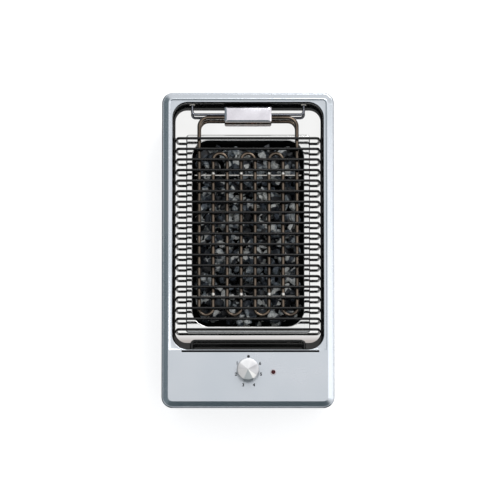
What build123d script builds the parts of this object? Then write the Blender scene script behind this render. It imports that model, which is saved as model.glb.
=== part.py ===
from build123d import *

import os
from math import atan, degrees
from random import Random

# Built-in electric grill. Z up, X to the right, Y to the rear, in millimetres.
# The origin is the centre of the rim's seat on the worktop.

# Top plate: a pressed steel sheet with a sloping rim
plate_width = 280.0
plate_depth = 520.0
plate_corner = 18.0
plate_rise = 6.0
plate_sheet = 1.2
rim_slope_width = 10.5
rim_lip_height = 0.8
rim_crease_radius = 3.0

# Opening for the basin, placed by the lands left around it
side_land = 17.0
rear_land = 16.5
panel_depth = 95.5
opening_corner = 25.0

# Rim seal under the plate
seal_width = 4.0
seal_height = 0.9
seal_inset = 2.5

# Basin: apron, sloping wall, floor and a deep well
basin_sheet = 1.0
basin_wall_drop = 31.8
basin_wall_inset = 1.0
well_drop = 55.0
well_bottom_radius = 8.0
well_flange = 7.0
apron_gap = 0.3
apron_corner = 8.0
apron_window_margin = 4.0

# Reflector floor
reflector_sheet = 1.0
reflector_side_gap = 3.6
reflector_rear_gap = 7.0
reflector_front_gap = 14.5
reflector_corner = 19.0

# Lava tray, its flange and the room around it
tray_side_inset = 22.0
tray_rear_inset = 48.7
tray_front_inset = 31.7
tray_flange = 9.0
tray_flange_rise = 5.0
tray_flange_corner = 5.0
tray_corner = 30.0
tray_sheet = 1.0
tray_drop = 49.0
tray_bottom_radius = 4.0
tray_clearance = 2.0

# Lava rocks
rock_size = 31.0
rock_gap = 0.4
rock_layers = 2
rock_top_above_flange = 2.5
rock_corner_cut = (0.3, 0.75)
rock_foot_scale = 0.7
rock_crown_scale = (0.45, 0.75)

# Grill grate
bar_diameter = 4.3
bar_pitch = 17.5
bar_rise = 24.0
bar_bend = 4.5
leg_lean = 2.0
leg_weld_depth = 0.65
rail_diameter = 4.0
rail_wall_gap = 0.3
rail_rest_gap = 0.3
rail_overhang = 5.0
rail_weld_gap = 0.02
grate_rear_gap = 58.7
grate_front_gap = 33.8

# Heating element
tube_diameter = 6.2
tube_rise = 16.0
leg_count = 8
leg_inset = 12.4
front_turn_inset = 14.8
rear_turn_inset = 21.6
outer_bend = 15.0
tube_axis_gap = 0.2
tube_end_x = 32.0
pin_diameter = 2.5
pin_length = 13.5

# Strips and clips under the element
strip_sheet = 1.2
strip_top_drop = 1.5
strip_height = 6.5
saddle_gap = 0.1
front_strip_inset = 49.8
rear_strip_inset = 59.9
rear_strip_end = 7.0
foot_width = 3.5
foot_inset = 0.5
foot_gap = 0.1
clip_wall = 0.8
clip_length = 4.0
clip_tab_width = 5.0
clip_tab_height = 3.5
clipped_legs = (1, 3, 5, 6)

# Terminal box on the element, and the hinge tubes it turns on
box_width = 76.5
box_depth = 26.0
box_rise = 4.5
box_sheet = 0.8
box_body_drop = 2.0
box_lid_skirt = 2.8
box_lid_clearance = 0.3
box_lid_chamfer = 1.6
box_lid_inner_chamfer = 1.0
box_lid_gap = 0.2
box_bottom_radius = 4.0
box_rear_gap = 17.5
ceramic_half = 18.0
ceramic_front = 8.0
ceramic_rear = 6.0
ceramic_top_drop = 4.5
link_sheet = 2.0
link_margin = 3.0
box_screw_x = 10.0
hinge_rise = 14.5
hinge_tube_diameter = 4.4
hinge_tube_bore = 3.0
hinge_bend = 5.3
gland_bend = 3.5
hinge_reach = 91.0
hinge_tube_start = 33.0
running_gap = 0.05
gland_diameter = 9.0
gland_flange_diameter = 13.0
gland_flange_sheet = 1.2
gland_flange_gap = 0.3

# Front rest rod
rest_diameter = 5.0
rest_reach = 91.5
rest_wall_gap = 16.5
rest_rise = 12.0
rest_bend = 6.0
rest_tail = 2.5

# Housing under the worktop
housing_side_inset = 10.0
housing_rear_inset = 9.5
housing_front_inset = 18.0
housing_bottom = -100.0
housing_sheet = 1.0
housing_corner = 9.0
housing_return_front = 20.0
housing_return_rear = 34.0
flange_front = 14.0
flange_side = 4.8
flange_rear = 5.6
flange_corner = 28.0
cover_sheet = 1.0
cover_edge = 12.0
cover_gap = 0.3
vent_length = 30.0
vent_width = 4.0
vent_pitch_x = 46.0
vent_pitch_y = 22.0
cover_screw_rise = 6.0
cover_screw_ys = (-200.0, 0.0, 200.0)
cover_screw_diameter = 4.0
cover_screw_head = 7.0

# Studs and nuts that hold the housing to the plate
stud_inset = 9.0
stud_diameter = 4.0
stud_length = 8.0
stud_gap = 0.2
nut_across_flats = 7.0
nut_height = 3.2
middle_stud_x = 45.0
middle_stud_shift = 1.5

# Heat shield on its spacers, and the baffle with its bushes
shield_sheet = 0.8
shield_height = 9.2
shield_margin = 8.0
shield_corner = 10.0
shield_edge = 6.0
spacer_diameter = 8.0
spacer_neck = 4.0
spacer_inset = 12.0
baffle_sheet = 0.8
baffle_gap = 12.3
baffle_foot = 10.0
baffle_side_gap = 1.9
bush_hole = 8.0
bush_flange = 11.0
bush_gap = 0.1

# Knob and energy regulator
knob_front_inset = 60.0
knob_diameter = 37.0
knob_top_diameter = 35.8
knob_height = 20.0
knob_gap = 1.0
knob_wall = 1.0
knob_edge = 1.2
pointer_length = 6.5
pointer_width = 1.4
pointer_edge_gap = 2.0
core_height = 7.0
core_gap = 0.2
hub_diameter = 12.0
shaft_diameter = 6.0
shaft_flat = 1.3
shaft_above_plate = 15.0
cam_diameter = 22.0
cam_height = 4.0
cam_level = -15.0
regulator_width = 44.0
regulator_depth = 40.0
regulator_height = 31.0
regulator_wall = 2.0
regulator_cover_sheet = 1.0
regulator_screw_reach = 11.0
regulator_screw_diameter = 4.0
regulator_screw_head = 7.0
blade_reach_x = 15.0
blade_reach_y = 10.0
blade_width = 6.3
blade_sheet = 0.8
blade_inside = 3.0
blade_outside = 11.0

# Indicator lamp
lamp_x = 41.0
lamp_front_offset = 2.0
lamp_body_diameter = 8.0
lamp_bore = 7.0
lamp_bezel_diameter = 9.8
lamp_bezel_height = 1.1
lamp_body_depth = 18.0
lamp_retainer_diameter = 13.0

# Mains terminal block, cable grommet and earth stud
block_width = 52.0
block_depth = 34.0
block_height = 20.0
block_wall_gap = 17.0
block_screw_diameter = 4.0
cable_bore = 9.0
grommet_diameter = 16.0
grommet_flange_diameter = 20.0
grommet_lip = 1.4
grommet_level = -72.0
earth_stud_x = -30.0
earth_stud_height = 14.0

# Wires
wire_diameter = 2.2
lamp_wire_diameter = 1.8
wire_bend = 8.0
wire_wall_gap = 18.0
wire_level = -60.0

# Worktop clamps
clamp_sheet = 1.5
clamp_width = 20.0
clamp_top = -40.5
clamp_bottom = -92.0
clamp_toe_length = 7.2
clamp_screw_level = -62.0
clamp_travel = 12.0
clamp_gap = 0.3
clamp_screw_diameter = 5.0
clamp_screw_head = 9.0
clamp_ys = (-150.0, 170.0)

# Levels and outlines worked out from the sizes above
plate_top = plate_rise
plate_under = plate_top - plate_sheet
opening_half = plate_width / 2 - side_land
opening_rear = plate_depth / 2 - rear_land
opening_front = -plate_depth / 2 + panel_depth
apron_under = plate_under - basin_sheet
apron_half = plate_width / 2 - plate_sheet - rim_slope_width - apron_gap
apron_end = plate_depth / 2 - plate_sheet - rim_slope_width - apron_gap
basin_floor = plate_under - basin_wall_drop
well_floor = basin_floor - well_drop
wall_slope = basin_wall_inset / basin_wall_drop
reflector_top = basin_floor + reflector_sheet
tray_top = reflector_top + tray_flange_rise
tray_half = opening_half - tray_side_inset
tray_rear = opening_rear - tray_rear_inset
tray_front = opening_front + tray_front_inset
pan_half = tray_half - tray_flange
pan_rear = tray_rear - tray_flange
pan_front = tray_front + tray_flange
pan_floor = tray_top - tray_drop
well_margin = tray_sheet + tray_clearance
well_half = pan_half + well_margin
well_rear = pan_rear + well_margin
well_front = pan_front - well_margin
well_corner = tray_corner + well_margin
tube_level = reflector_top + tube_rise
hinge_level = reflector_top + hinge_rise
hinge_y = opening_rear - box_rear_gap
tube_y = hinge_y - tube_diameter / 2 - hinge_tube_diameter / 2 - tube_axis_gap
leg_half = pan_half - leg_inset
leg_pitch = 2 * leg_half / (leg_count - 1)
leg_xs = [-leg_half + i * leg_pitch for i in range(leg_count)]
housing_half = plate_width / 2 - housing_side_inset
housing_rear = plate_depth / 2 - housing_rear_inset
housing_front = -plate_depth / 2 + housing_front_inset
cover_bottom = housing_bottom - cover_sheet
knob_y = -plate_depth / 2 + knob_front_inset
lamp_y = knob_y - lamp_front_offset
wire_x = housing_half - wire_wall_gap
blade_end = plate_under - regulator_height - blade_outside


# Building steps shared by the pieces, each used inside a piece's own block

def slab(low, high, half_x, front, rear, corner, mode=Mode.ADD):
    """A flat block with rounded upright corners."""
    with BuildSketch(Plane.XY.offset(low)) as profile:
        with Locations((0, (front + rear) / 2)):
            RectangleRounded(2 * half_x, rear - front, corner)
    extrude(profile.sketch, amount=high - low, mode=mode)


def leaning_slab(top, drop, half_x, front, rear, corner, mode=Mode.ADD):
    """A downward block whose sides lean in by the slope of the basin's wall."""
    with BuildSketch(Plane.XY.offset(top)) as profile:
        with Locations((0, (front + rear) / 2)):
            RectangleRounded(2 * half_x, rear - front, corner)
    extrude(profile.sketch, amount=-drop, taper=degrees(atan(wall_slope)), mode=mode)


def block(x_low, x_high, y_low, y_high, z_low, z_high, mode=Mode.ADD):
    """A plain block between six planes."""
    with BuildSketch(Plane.XY.offset(z_low)) as profile:
        with Locations(((x_low + x_high) / 2, (y_low + y_high) / 2)):
            Rectangle(x_high - x_low, y_high - y_low)
    extrude(profile.sketch, amount=z_high - z_low, mode=mode)


def upright(x, y, low, high, radius, mode=Mode.ADD):
    """A round bar or hole along Z."""
    with BuildSketch(Plane.XY.offset(low)) as profile:
        with Locations((x, y)):
            Circle(radius)
    extrude(profile.sketch, amount=high - low, mode=mode)


def sideways(x_low, x_high, y, z, radius, mode=Mode.ADD):
    """A round bar or hole along X."""
    with BuildSketch(Plane.YZ.offset(x_low)) as profile:
        with Locations((y, z)):
            Circle(radius)
    extrude(profile.sketch, amount=x_high - x_low, mode=mode)


def lengthways(x, y_low, y_high, z, radius, mode=Mode.ADD):
    """A round bar or hole along Y."""
    with BuildSketch(Plane(origin=(x, y_low, z), x_dir=(1, 0, 0), z_dir=(0, 1, 0))) as profile:
        Circle(radius)
    extrude(profile.sketch, amount=y_high - y_low, mode=mode)


def hexagon(x, y, low, high, across_flats, bore_radius):
    """A hexagon nut on an upright screw."""
    with BuildSketch(Plane.XY.offset(low)) as profile:
        with Locations((x, y)):
            RegularPolygon(across_flats / 2, 6, major_radius=False)
            Circle(bore_radius, mode=Mode.SUBTRACT)
    extrude(profile.sketch, amount=high - low)


def wire(points, radius, bend, bore_radius=0.0):
    """A round wire or tube along straight runs joined by tangent arcs."""
    with BuildLine() as route:
        FilletPolyline(*points, radius=bend)
    with BuildSketch(Plane(origin=route.line @ 0, z_dir=route.line % 0)) as profile:
        Circle(radius)
        if bore_radius:
            Circle(bore_radius, mode=Mode.SUBTRACT)
    sweep(profile.sketch, path=route.line)


def loop_at(builder, level):
    """The edges of a part that lie at one height."""
    return builder.edges().filter_by_position(Axis.Z, level - 0.01, level + 0.01)


def mound(builder, half_x, half_y, corner, height, lip):
    """A low block whose wide edge slopes down to a thin lip: the shape of the rim."""
    slab(0, height, half_x, -half_y, half_y, corner)
    top_face = builder.faces().sort_by(Axis.Z)[-1]
    chamfer(top_face.edges(), length=rim_slope_width, length2=height - lip, reference=top_face)


# Top plate and its welded studs

stud_places = [
    (side * x, y)
    for side in (-1, 1)
    for x, y in (
        (housing_half - stud_inset, housing_rear - stud_inset),
        (housing_half - stud_inset, housing_front + stud_inset),
        (middle_stud_x, housing_front + stud_inset - middle_stud_shift),
    )
]

with BuildPart() as plate_hollow:
    mound(
        plate_hollow,
        plate_width / 2 - plate_sheet,
        plate_depth / 2 - plate_sheet,
        plate_corner - plate_sheet,
        plate_under,
        rim_lip_height / 2,
    )

with BuildPart() as top_plate:
    mound(top_plate, plate_width / 2, plate_depth / 2, plate_corner, plate_rise, rim_lip_height)
    fillet(loop_at(top_plate, plate_top), rim_crease_radius)
    add(plate_hollow.part, mode=Mode.SUBTRACT)
    slab(-1, plate_top + 1, opening_half, opening_front, opening_rear, opening_corner, Mode.SUBTRACT)
    upright(0, knob_y, 0, plate_top + 1, shaft_diameter / 2 + stud_gap, Mode.SUBTRACT)
    upright(lamp_x, lamp_y, 0, plate_top + 1, lamp_body_diameter / 2 + running_gap, Mode.SUBTRACT)
    for side in (-1, 1):
        screw_x = side * regulator_screw_reach
        upright(screw_x, knob_y, 0, plate_top + 1, regulator_screw_diameter / 2 + running_gap, Mode.SUBTRACT)
    for x, y in stud_places:
        upright(x, y, plate_under - stud_length, plate_under, stud_diameter / 2)

# Rim seal: a flat strip between the rim and the worktop

with BuildPart() as rim_seal:
    seal_half = plate_width / 2 - seal_inset
    seal_end = plate_depth / 2 - seal_inset
    seal_corner = plate_corner - seal_inset
    slab(0, seal_height, seal_half, -seal_end, seal_end, seal_corner)
    inner_half = seal_half - seal_width
    inner_end = seal_end - seal_width
    slab(-1, seal_height + 1, inner_half, -inner_end, inner_end, seal_corner - seal_width, Mode.SUBTRACT)

# Well pan: a deep pressing whose flange is welded under the basin's floor

well_top = basin_floor - basin_sheet

with BuildPart() as well_hollow:
    slab(well_floor, well_top + 1, well_half, well_front, well_rear, well_corner)
    fillet(loop_at(well_hollow, well_floor), well_bottom_radius)

with BuildPart() as well_pan:
    slab(
        well_floor - basin_sheet,
        well_top,
        well_half + basin_sheet,
        well_front - basin_sheet,
        well_rear + basin_sheet,
        well_corner + basin_sheet,
    )
    fillet(loop_at(well_pan, well_floor - basin_sheet), well_bottom_radius + basin_sheet)
    slab(
        well_top - basin_sheet,
        well_top,
        well_half + well_flange,
        well_front - well_flange,
        well_rear + well_flange,
        well_corner + well_flange,
    )
    add(well_hollow.part, mode=Mode.SUBTRACT)

# Basin: apron under the plate, sloping wall and floor in one pressing

with BuildPart() as basin:
    slab(apron_under, plate_under, apron_half, -apron_end, apron_end, apron_corner)
    leaning_slab(
        plate_under,
        basin_wall_drop + basin_sheet,
        opening_half + basin_sheet,
        opening_front - basin_sheet,
        opening_rear + basin_sheet,
        opening_corner + basin_sheet,
    )
    leaning_slab(
        plate_under,
        basin_wall_drop,
        opening_half,
        opening_front,
        opening_rear,
        opening_corner,
        Mode.SUBTRACT,
    )
    slab(well_top - 1, basin_floor + 1, well_half, well_front, well_rear, well_corner, Mode.SUBTRACT)
    block(
        -regulator_width / 2 - apron_window_margin,
        lamp_x + lamp_retainer_diameter / 2 + apron_window_margin,
        knob_y - regulator_depth / 2 - apron_window_margin,
        knob_y + regulator_depth / 2 + apron_window_margin,
        apron_under - 1,
        plate_under + 1,
        Mode.SUBTRACT,
    )
    for x, y in stud_places:
        upright(x, y, apron_under - 1, plate_under + 1, stud_diameter / 2 + stud_gap, Mode.SUBTRACT)
    for side in (-1, 1):
        hinge_x = side * hinge_reach
        rest_x = side * rest_reach
        gland_hole = gland_diameter / 2 + running_gap
        rest_hole = rest_diameter / 2 + running_gap
        lengthways(hinge_x, hinge_y, opening_rear + 5, hinge_level, gland_hole, Mode.SUBTRACT)
        lengthways(
            rest_x,
            opening_front - 5,
            opening_front + rest_wall_gap / 2,
            reflector_top + rest_rise,
            rest_hole,
            Mode.SUBTRACT,
        )

# Reflector: a polished plate on the basin's floor, open over the well

with BuildPart() as reflector:
    slab(
        basin_floor,
        reflector_top,
        opening_half - basin_wall_inset - reflector_side_gap,
        opening_front + basin_wall_inset + reflector_front_gap,
        opening_rear - basin_wall_inset - reflector_rear_gap,
        reflector_corner,
    )
    slab(
        basin_floor - 1,
        reflector_top + 1,
        well_half,
        well_front,
        well_rear,
        well_corner,
        Mode.SUBTRACT,
    )

# Lava tray: a pan with a flange that stands on the reflector by its turned-down edge

with BuildPart() as pan_hollow:
    slab(pan_floor, tray_top + 1, pan_half, pan_front, pan_rear, tray_corner)
    fillet(loop_at(pan_hollow, pan_floor), tray_bottom_radius)

with BuildPart() as pan_shell:
    slab(
        pan_floor - tray_sheet,
        tray_top,
        pan_half + tray_sheet,
        pan_front - tray_sheet,
        pan_rear + tray_sheet,
        tray_corner + tray_sheet,
    )
    fillet(loop_at(pan_shell, pan_floor - tray_sheet), tray_bottom_radius + tray_sheet)

with BuildPart() as lava_tray:
    slab(reflector_top, tray_top, tray_half, tray_front, tray_rear, tray_flange_corner)
    fillet(loop_at(lava_tray, tray_top), tray_sheet)
    slab(
        reflector_top,
        tray_top - tray_sheet,
        tray_half - tray_sheet,
        tray_front + tray_sheet,
        tray_rear - tray_sheet,
        tray_flange_corner - tray_sheet,
        Mode.SUBTRACT,
    )
    add(pan_shell.part)
    add(pan_hollow.part, mode=Mode.SUBTRACT)

# Lava rocks: irregular eight-sided lumps packed in layers

draw = Random(12)


def lump(x, y, half_x, half_y, low, high):
    """One rock between two heights, its widest section somewhere between them."""
    outline = []
    for sx, sy in ((1, 1), (-1, 1), (-1, -1), (1, -1)):
        cut_x = half_x * draw.uniform(*rock_corner_cut)
        cut_y = half_y * draw.uniform(*rock_corner_cut)
        along_x = (sx * (half_x - cut_x), sy * half_y)
        along_y = (sx * half_x, sy * (half_y - cut_y))
        outline += [along_y, along_x] if sx * sy > 0 else [along_x, along_y]
    waist = low + (high - low) * draw.uniform(0.35, 0.6)
    crown = draw.uniform(*rock_crown_scale)
    levels = []
    for level, scale in ((low, rock_foot_scale), (waist, 1.0), (high, crown)):
        with BuildSketch(Plane.XY.offset(level)) as section:
            Polygon(*[(x + px * scale, y + py * scale) for px, py in outline], align=None)
        levels.append(section.sketch.face())
    return loft(levels, ruled=True, mode=Mode.PRIVATE)


with BuildPart() as lava_rocks:
    columns = round(2 * pan_half / rock_size)
    rows = round((pan_rear - pan_front) / rock_size)
    cell_x = 2 * pan_half / columns
    cell_y = (pan_rear - pan_front) / rows
    layer_height = (tray_top + rock_top_above_flange - pan_floor) / rock_layers
    rocks = []
    for layer in range(rock_layers):
        low = pan_floor + layer * layer_height + rock_gap / 2
        for row in range(rows):
            for column in range(columns):
                if row in (0, rows - 1) and column in (0, columns - 1):
                    continue
                x = -pan_half + (column + 0.5) * cell_x
                y = pan_front + (row + 0.5) * cell_y
                half_x = (cell_x - rock_gap) / 2
                half_y = (cell_y - rock_gap) / 2
                rocks.append(lump(x, y, half_x, half_y, low, low + layer_height - rock_gap))
    add(rocks)

# Grill grate: bars turned down at both ends and welded to the inner sides of two rails

bar_level = reflector_top + bar_rise
rail_level = reflector_top + rail_rest_gap + rail_diameter / 2
rail_wall = opening_half - (plate_under - rail_level) * wall_slope
rail_x = rail_wall - rail_wall_gap - rail_diameter / 2
leg_x = rail_x - (rail_diameter + bar_diameter) / 2 + leg_weld_depth
shoulder_x = leg_x - leg_lean
first_bar = opening_front + grate_front_gap
last_bar = opening_rear - grate_rear_gap
bar_steps = round((last_bar - first_bar) / bar_pitch)

rail_ends = (first_bar - rail_overhang, last_bar + rail_overhang)

with BuildPart() as grill_grate:
    for step in range(bar_steps + 1):
        y = first_bar + step * (last_bar - first_bar) / bar_steps
        bar_points = [
            (-leg_x, y, rail_level),
            (-shoulder_x, y, bar_level),
            (shoulder_x, y, bar_level),
            (leg_x, y, rail_level),
        ]
        wire(bar_points, bar_diameter / 2, bar_bend)
    for side in (-1, 1):
        saddle = rail_diameter / 2 + rail_weld_gap
        lengthways(side * rail_x, *rail_ends, rail_level, saddle, Mode.SUBTRACT)
        lengthways(side * rail_x, *rail_ends, rail_level, rail_diameter / 2)

# Heating element: one tube bent back and forth over the rocks

with BuildPart() as heating_element:
    front_end = pan_front + front_turn_inset + tube_diameter / 2 + leg_pitch / 2
    rear_end = pan_rear - rear_turn_inset - tube_diameter / 2 - leg_pitch / 2
    with BuildLine() as tube_route:
        Line((-tube_end_x, tube_y, tube_level), (-leg_half + outer_bend, tube_y, tube_level))
        RadiusArc(
            (-leg_half + outer_bend, tube_y, tube_level),
            (-leg_half, tube_y - outer_bend, tube_level),
            -outer_bend,
        )
        for i in range(leg_count):
            going_front = i % 2 == 0
            low_y = front_end
            high_y = tube_y - outer_bend if i in (0, leg_count - 1) else rear_end
            start, end = (high_y, low_y) if going_front else (low_y, high_y)
            Line((leg_xs[i], start, tube_level), (leg_xs[i], end, tube_level))
            if i < leg_count - 1:
                turn = -leg_pitch / 2 if going_front else leg_pitch / 2
                ThreePointArc(
                    (leg_xs[i], end, tube_level),
                    (leg_xs[i] + leg_pitch / 2, end + turn, tube_level),
                    (leg_xs[i + 1], end, tube_level),
                )
        RadiusArc(
            (leg_half, tube_y - outer_bend, tube_level),
            (leg_half - outer_bend, tube_y, tube_level),
            -outer_bend,
        )
        Line((leg_half - outer_bend, tube_y, tube_level), (tube_end_x, tube_y, tube_level))
    with BuildSketch(Plane(origin=tube_route.line @ 0, z_dir=tube_route.line % 0)):
        Circle(tube_diameter / 2)
    sweep(path=tube_route.line)

with BuildPart() as element_pins:
    for side in (-1, 1):
        ends = sorted((side * (tube_end_x - pin_length), side * tube_end_x))
        sideways(*ends, tube_y, tube_level, pin_diameter / 2)

# Strips on edge under the element, with a saddle for each leg

strip_top = tube_level - strip_top_drop
strip_low = strip_top - strip_height
saddle_radius = tube_diameter / 2 + saddle_gap
front_strip_y = pan_front + front_strip_inset
rear_strip_y = pan_rear - rear_strip_inset


def strip(y, half_length):
    """A strip on edge across the legs."""
    block(-half_length, half_length, y - strip_sheet, y, strip_low, strip_top)
    for leg_x in leg_xs:
        lengthways(leg_x, y - strip_sheet - 1, y + 1, tube_level, saddle_radius, Mode.SUBTRACT)


with BuildPart() as front_strip:
    foot_x = pan_half + foot_inset
    strip(front_strip_y, foot_x + foot_width)
    for side in (-1, 1):
        foot_ends = sorted((side * foot_x, side * (foot_x + foot_width)))
        block(*foot_ends, front_strip_y - strip_sheet, front_strip_y, tray_top + foot_gap, strip_low)

with BuildPart() as rear_strip:
    strip(rear_strip_y, leg_half + rear_strip_end)

with BuildPart() as element_clips:
    clip_radius = tube_diameter / 2 + running_gap
    tab_top = tube_level - clip_radius - clip_wall / 2
    for strip_y in (front_strip_y, rear_strip_y):
        for i in clipped_legs:
            lengthways(leg_xs[i], strip_y, strip_y + clip_length, tube_level, clip_radius + clip_wall)
            block(
                leg_xs[i] - clip_tab_width / 2,
                leg_xs[i] + clip_tab_width / 2,
                strip_y,
                strip_y + clip_wall,
                tab_top - clip_tab_height,
                tab_top,
            )
            lengthways(leg_xs[i], strip_y, strip_y + clip_length, tube_level, clip_radius, Mode.SUBTRACT)

# Terminal box: a pressed body and a lid with a sloping border

box_low = reflector_top + box_rise
box_top = tube_level + tube_diameter / 2 + box_lid_clearance + box_lid_skirt
body_half_x = box_width / 2 - box_sheet - box_lid_gap
body_half_y = box_depth / 2 - box_sheet - box_lid_gap
body_top = box_top - box_body_drop


def trough(builder, half_x, half_y, low, top, radius):
    """A block with its two long bottom edges rounded."""
    block(-half_x, half_x, hinge_y - half_y, hinge_y + half_y, low, top)
    long_edges = loop_at(builder, low).filter_by(Axis.X)
    fillet(long_edges, radius)


with BuildPart() as box_hollow:
    trough(
        box_hollow,
        body_half_x - box_sheet,
        body_half_y - box_sheet,
        box_low + box_sheet,
        body_top + 1,
        box_bottom_radius - box_sheet,
    )

with BuildPart() as terminal_box_body:
    trough(terminal_box_body, body_half_x, body_half_y, box_low, body_top, box_bottom_radius)
    add(box_hollow.part, mode=Mode.SUBTRACT)
    tube_hole = tube_diameter / 2 + running_gap
    hinge_hole = hinge_tube_diameter / 2 + running_gap
    sideways(-box_width, box_width, tube_y, tube_level, tube_hole, Mode.SUBTRACT)
    sideways(-box_width, box_width, hinge_y, hinge_level, hinge_hole, Mode.SUBTRACT)
    for side in (-1, 1):
        upright(side * box_screw_x, hinge_y, box_low - 1, box_low + 2, 2 + running_gap, Mode.SUBTRACT)

with BuildPart() as lid_hollow:
    lid_half_x = box_width / 2 - box_sheet
    lid_half_y = box_depth / 2 - box_sheet
    lid_inside = box_top - box_sheet
    block(-lid_half_x, lid_half_x, hinge_y - lid_half_y, hinge_y + lid_half_y, box_top - 10, lid_inside)
    chamfer(loop_at(lid_hollow, lid_inside), box_lid_inner_chamfer)

with BuildPart() as terminal_box_lid:
    block(
        -box_width / 2,
        box_width / 2,
        hinge_y - box_depth / 2,
        hinge_y + box_depth / 2,
        box_top - box_lid_skirt,
        box_top,
    )
    fillet(terminal_box_lid.edges().filter_by(Axis.Z), 2.0)
    chamfer(loop_at(terminal_box_lid, box_top), box_lid_chamfer)
    add(lid_hollow.part, mode=Mode.SUBTRACT)

with BuildPart() as terminal_ceramic:
    block(
        -ceramic_half,
        ceramic_half,
        hinge_y - ceramic_front,
        hinge_y + ceramic_rear,
        box_low + box_sheet,
        box_top - ceramic_top_drop,
    )
    fillet(terminal_ceramic.edges().filter_by(Axis.Z), 1.5)
    for side in (-1, 1):
        upright(side * box_screw_x, hinge_y, box_low, box_low + 9, 2 + running_gap, Mode.SUBTRACT)

with BuildPart() as terminal_links:
    for side in (-1, 1):
        link_ends = sorted((side * ceramic_half, side * (ceramic_half + link_sheet)))
        block(
            *link_ends,
            tube_y - link_margin,
            hinge_y + link_margin,
            hinge_level - link_margin,
            tube_level + link_margin,
        )
    pin_hole = pin_diameter / 2 + running_gap
    sideways(-box_width, box_width, tube_y, tube_level, pin_hole, Mode.SUBTRACT)

with BuildPart() as box_screws:
    for side in (-1, 1):
        upright(side * box_screw_x, hinge_y, box_low - 1.6, box_low, 3.2)
        upright(side * box_screw_x, hinge_y, box_low, box_low + 8, 2.0)

# Hinge tubes: fixed in the rear wall, hollow for the leads, and the box turns on them

wire_rear_y = housing_rear - housing_sheet - 1 - wire_diameter / 2
tube_tail_y = wire_rear_y - gland_bend - 0.2
rear_wall_y = opening_rear - (plate_under - hinge_level) * wall_slope

with BuildPart() as hinge_tubes:
    for side in (-1, 1):
        hinge_points = [
            (side * hinge_tube_start, hinge_y, hinge_level),
            (side * hinge_reach, hinge_y, hinge_level),
            (side * hinge_reach, tube_tail_y, hinge_level),
        ]
        wire(hinge_points, hinge_tube_diameter / 2, hinge_bend, hinge_tube_bore / 2)

with BuildPart() as hinge_glands:
    for side in (-1, 1):
        gland_x = side * hinge_reach
        gland_end = rear_wall_y + basin_sheet + gland_flange_gap + gland_flange_sheet
        lengthways(gland_x, rear_wall_y - 1.5, gland_end, hinge_level, gland_diameter / 2)
        lengthways(
            gland_x,
            gland_end - gland_flange_sheet,
            gland_end,
            hinge_level,
            gland_flange_diameter / 2,
        )
        lengthways(gland_x, hinge_y, housing_rear, hinge_level, hinge_hole, Mode.SUBTRACT)

# Front rest rod: welded through the basin's front wall

with BuildPart() as front_rest_rod:
    rest_level = reflector_top + rest_rise
    rest_y = opening_front + rest_wall_gap
    rest_points = [
        (-rest_reach, opening_front - rest_tail, rest_level),
        (-rest_reach, rest_y, rest_level),
        (rest_reach, rest_y, rest_level),
        (rest_reach, opening_front - rest_tail, rest_level),
    ]
    wire(rest_points, rest_diameter / 2, rest_bend)

# Housing: a blank with a narrow flange under the basin's apron, parted into four welded panels

clamp_places = [(side, y) for side in (-1, 1) for y in clamp_ys]
cover_screw_level = housing_bottom + cover_screw_rise
block_x = -housing_half + housing_sheet + block_wall_gap + block_width / 2
block_y = knob_y - 6

with BuildPart() as housing_blank:
    slab(housing_bottom, apron_under, housing_half, housing_front, housing_rear, housing_corner)
    slab(
        housing_bottom - 1,
        apron_under - housing_sheet,
        housing_half - housing_sheet,
        housing_front + housing_sheet,
        housing_rear - housing_sheet,
        housing_corner - housing_sheet,
        Mode.SUBTRACT,
    )
    slab(
        apron_under - 2 * housing_sheet,
        apron_under + 1,
        housing_half - flange_side,
        housing_front + flange_front,
        housing_rear - flange_rear,
        flange_corner,
        Mode.SUBTRACT,
    )
    for x, y in stud_places:
        upright(x, y, 0, plate_under, stud_diameter / 2 + stud_gap, Mode.SUBTRACT)
    for y in cover_screw_ys:
        screw_hole = cover_screw_diameter / 2 + running_gap
        sideways(-housing_half - 1, housing_half + 1, y, cover_screw_level, screw_hole, Mode.SUBTRACT)
    for y in clamp_ys:
        clamp_hole = clamp_screw_diameter / 2 + running_gap
        sideways(-housing_half - 1, housing_half + 1, y, clamp_screw_level, clamp_hole, Mode.SUBTRACT)
    sideways(-housing_half - 1, 0, block_y, grommet_level, grommet_diameter / 2, Mode.SUBTRACT)

seam_front = housing_front + housing_return_front
seam_rear = housing_rear - housing_return_rear
panel_height = (housing_bottom, apron_under)

with BuildPart() as housing_front_panel:
    add(housing_blank.part)
    block(-housing_half, housing_half, housing_front, seam_front, *panel_height, Mode.INTERSECT)

with BuildPart() as housing_rear_panel:
    add(housing_blank.part)
    block(-housing_half, housing_half, seam_rear, housing_rear, *panel_height, Mode.INTERSECT)

with BuildPart() as housing_left_panel:
    add(housing_blank.part)
    block(-housing_half, 0, seam_front, seam_rear, *panel_height, Mode.INTERSECT)

with BuildPart() as housing_right_panel:
    add(housing_blank.part)
    block(0, housing_half, seam_front, seam_rear, *panel_height, Mode.INTERSECT)

# Bottom cover: a shallow pan inside the housing, with vent slots

spacer_x = well_half + shield_margin - spacer_inset
spacer_ys = (well_front - shield_margin + spacer_inset, well_rear + shield_margin - spacer_inset)
vent_columns = int((2 * spacer_x - spacer_diameter - vent_length) / vent_pitch_x) + 1
vent_rows = int((spacer_ys[1] - spacer_ys[0] - 2 * spacer_diameter) / vent_pitch_y) + 1

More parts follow.
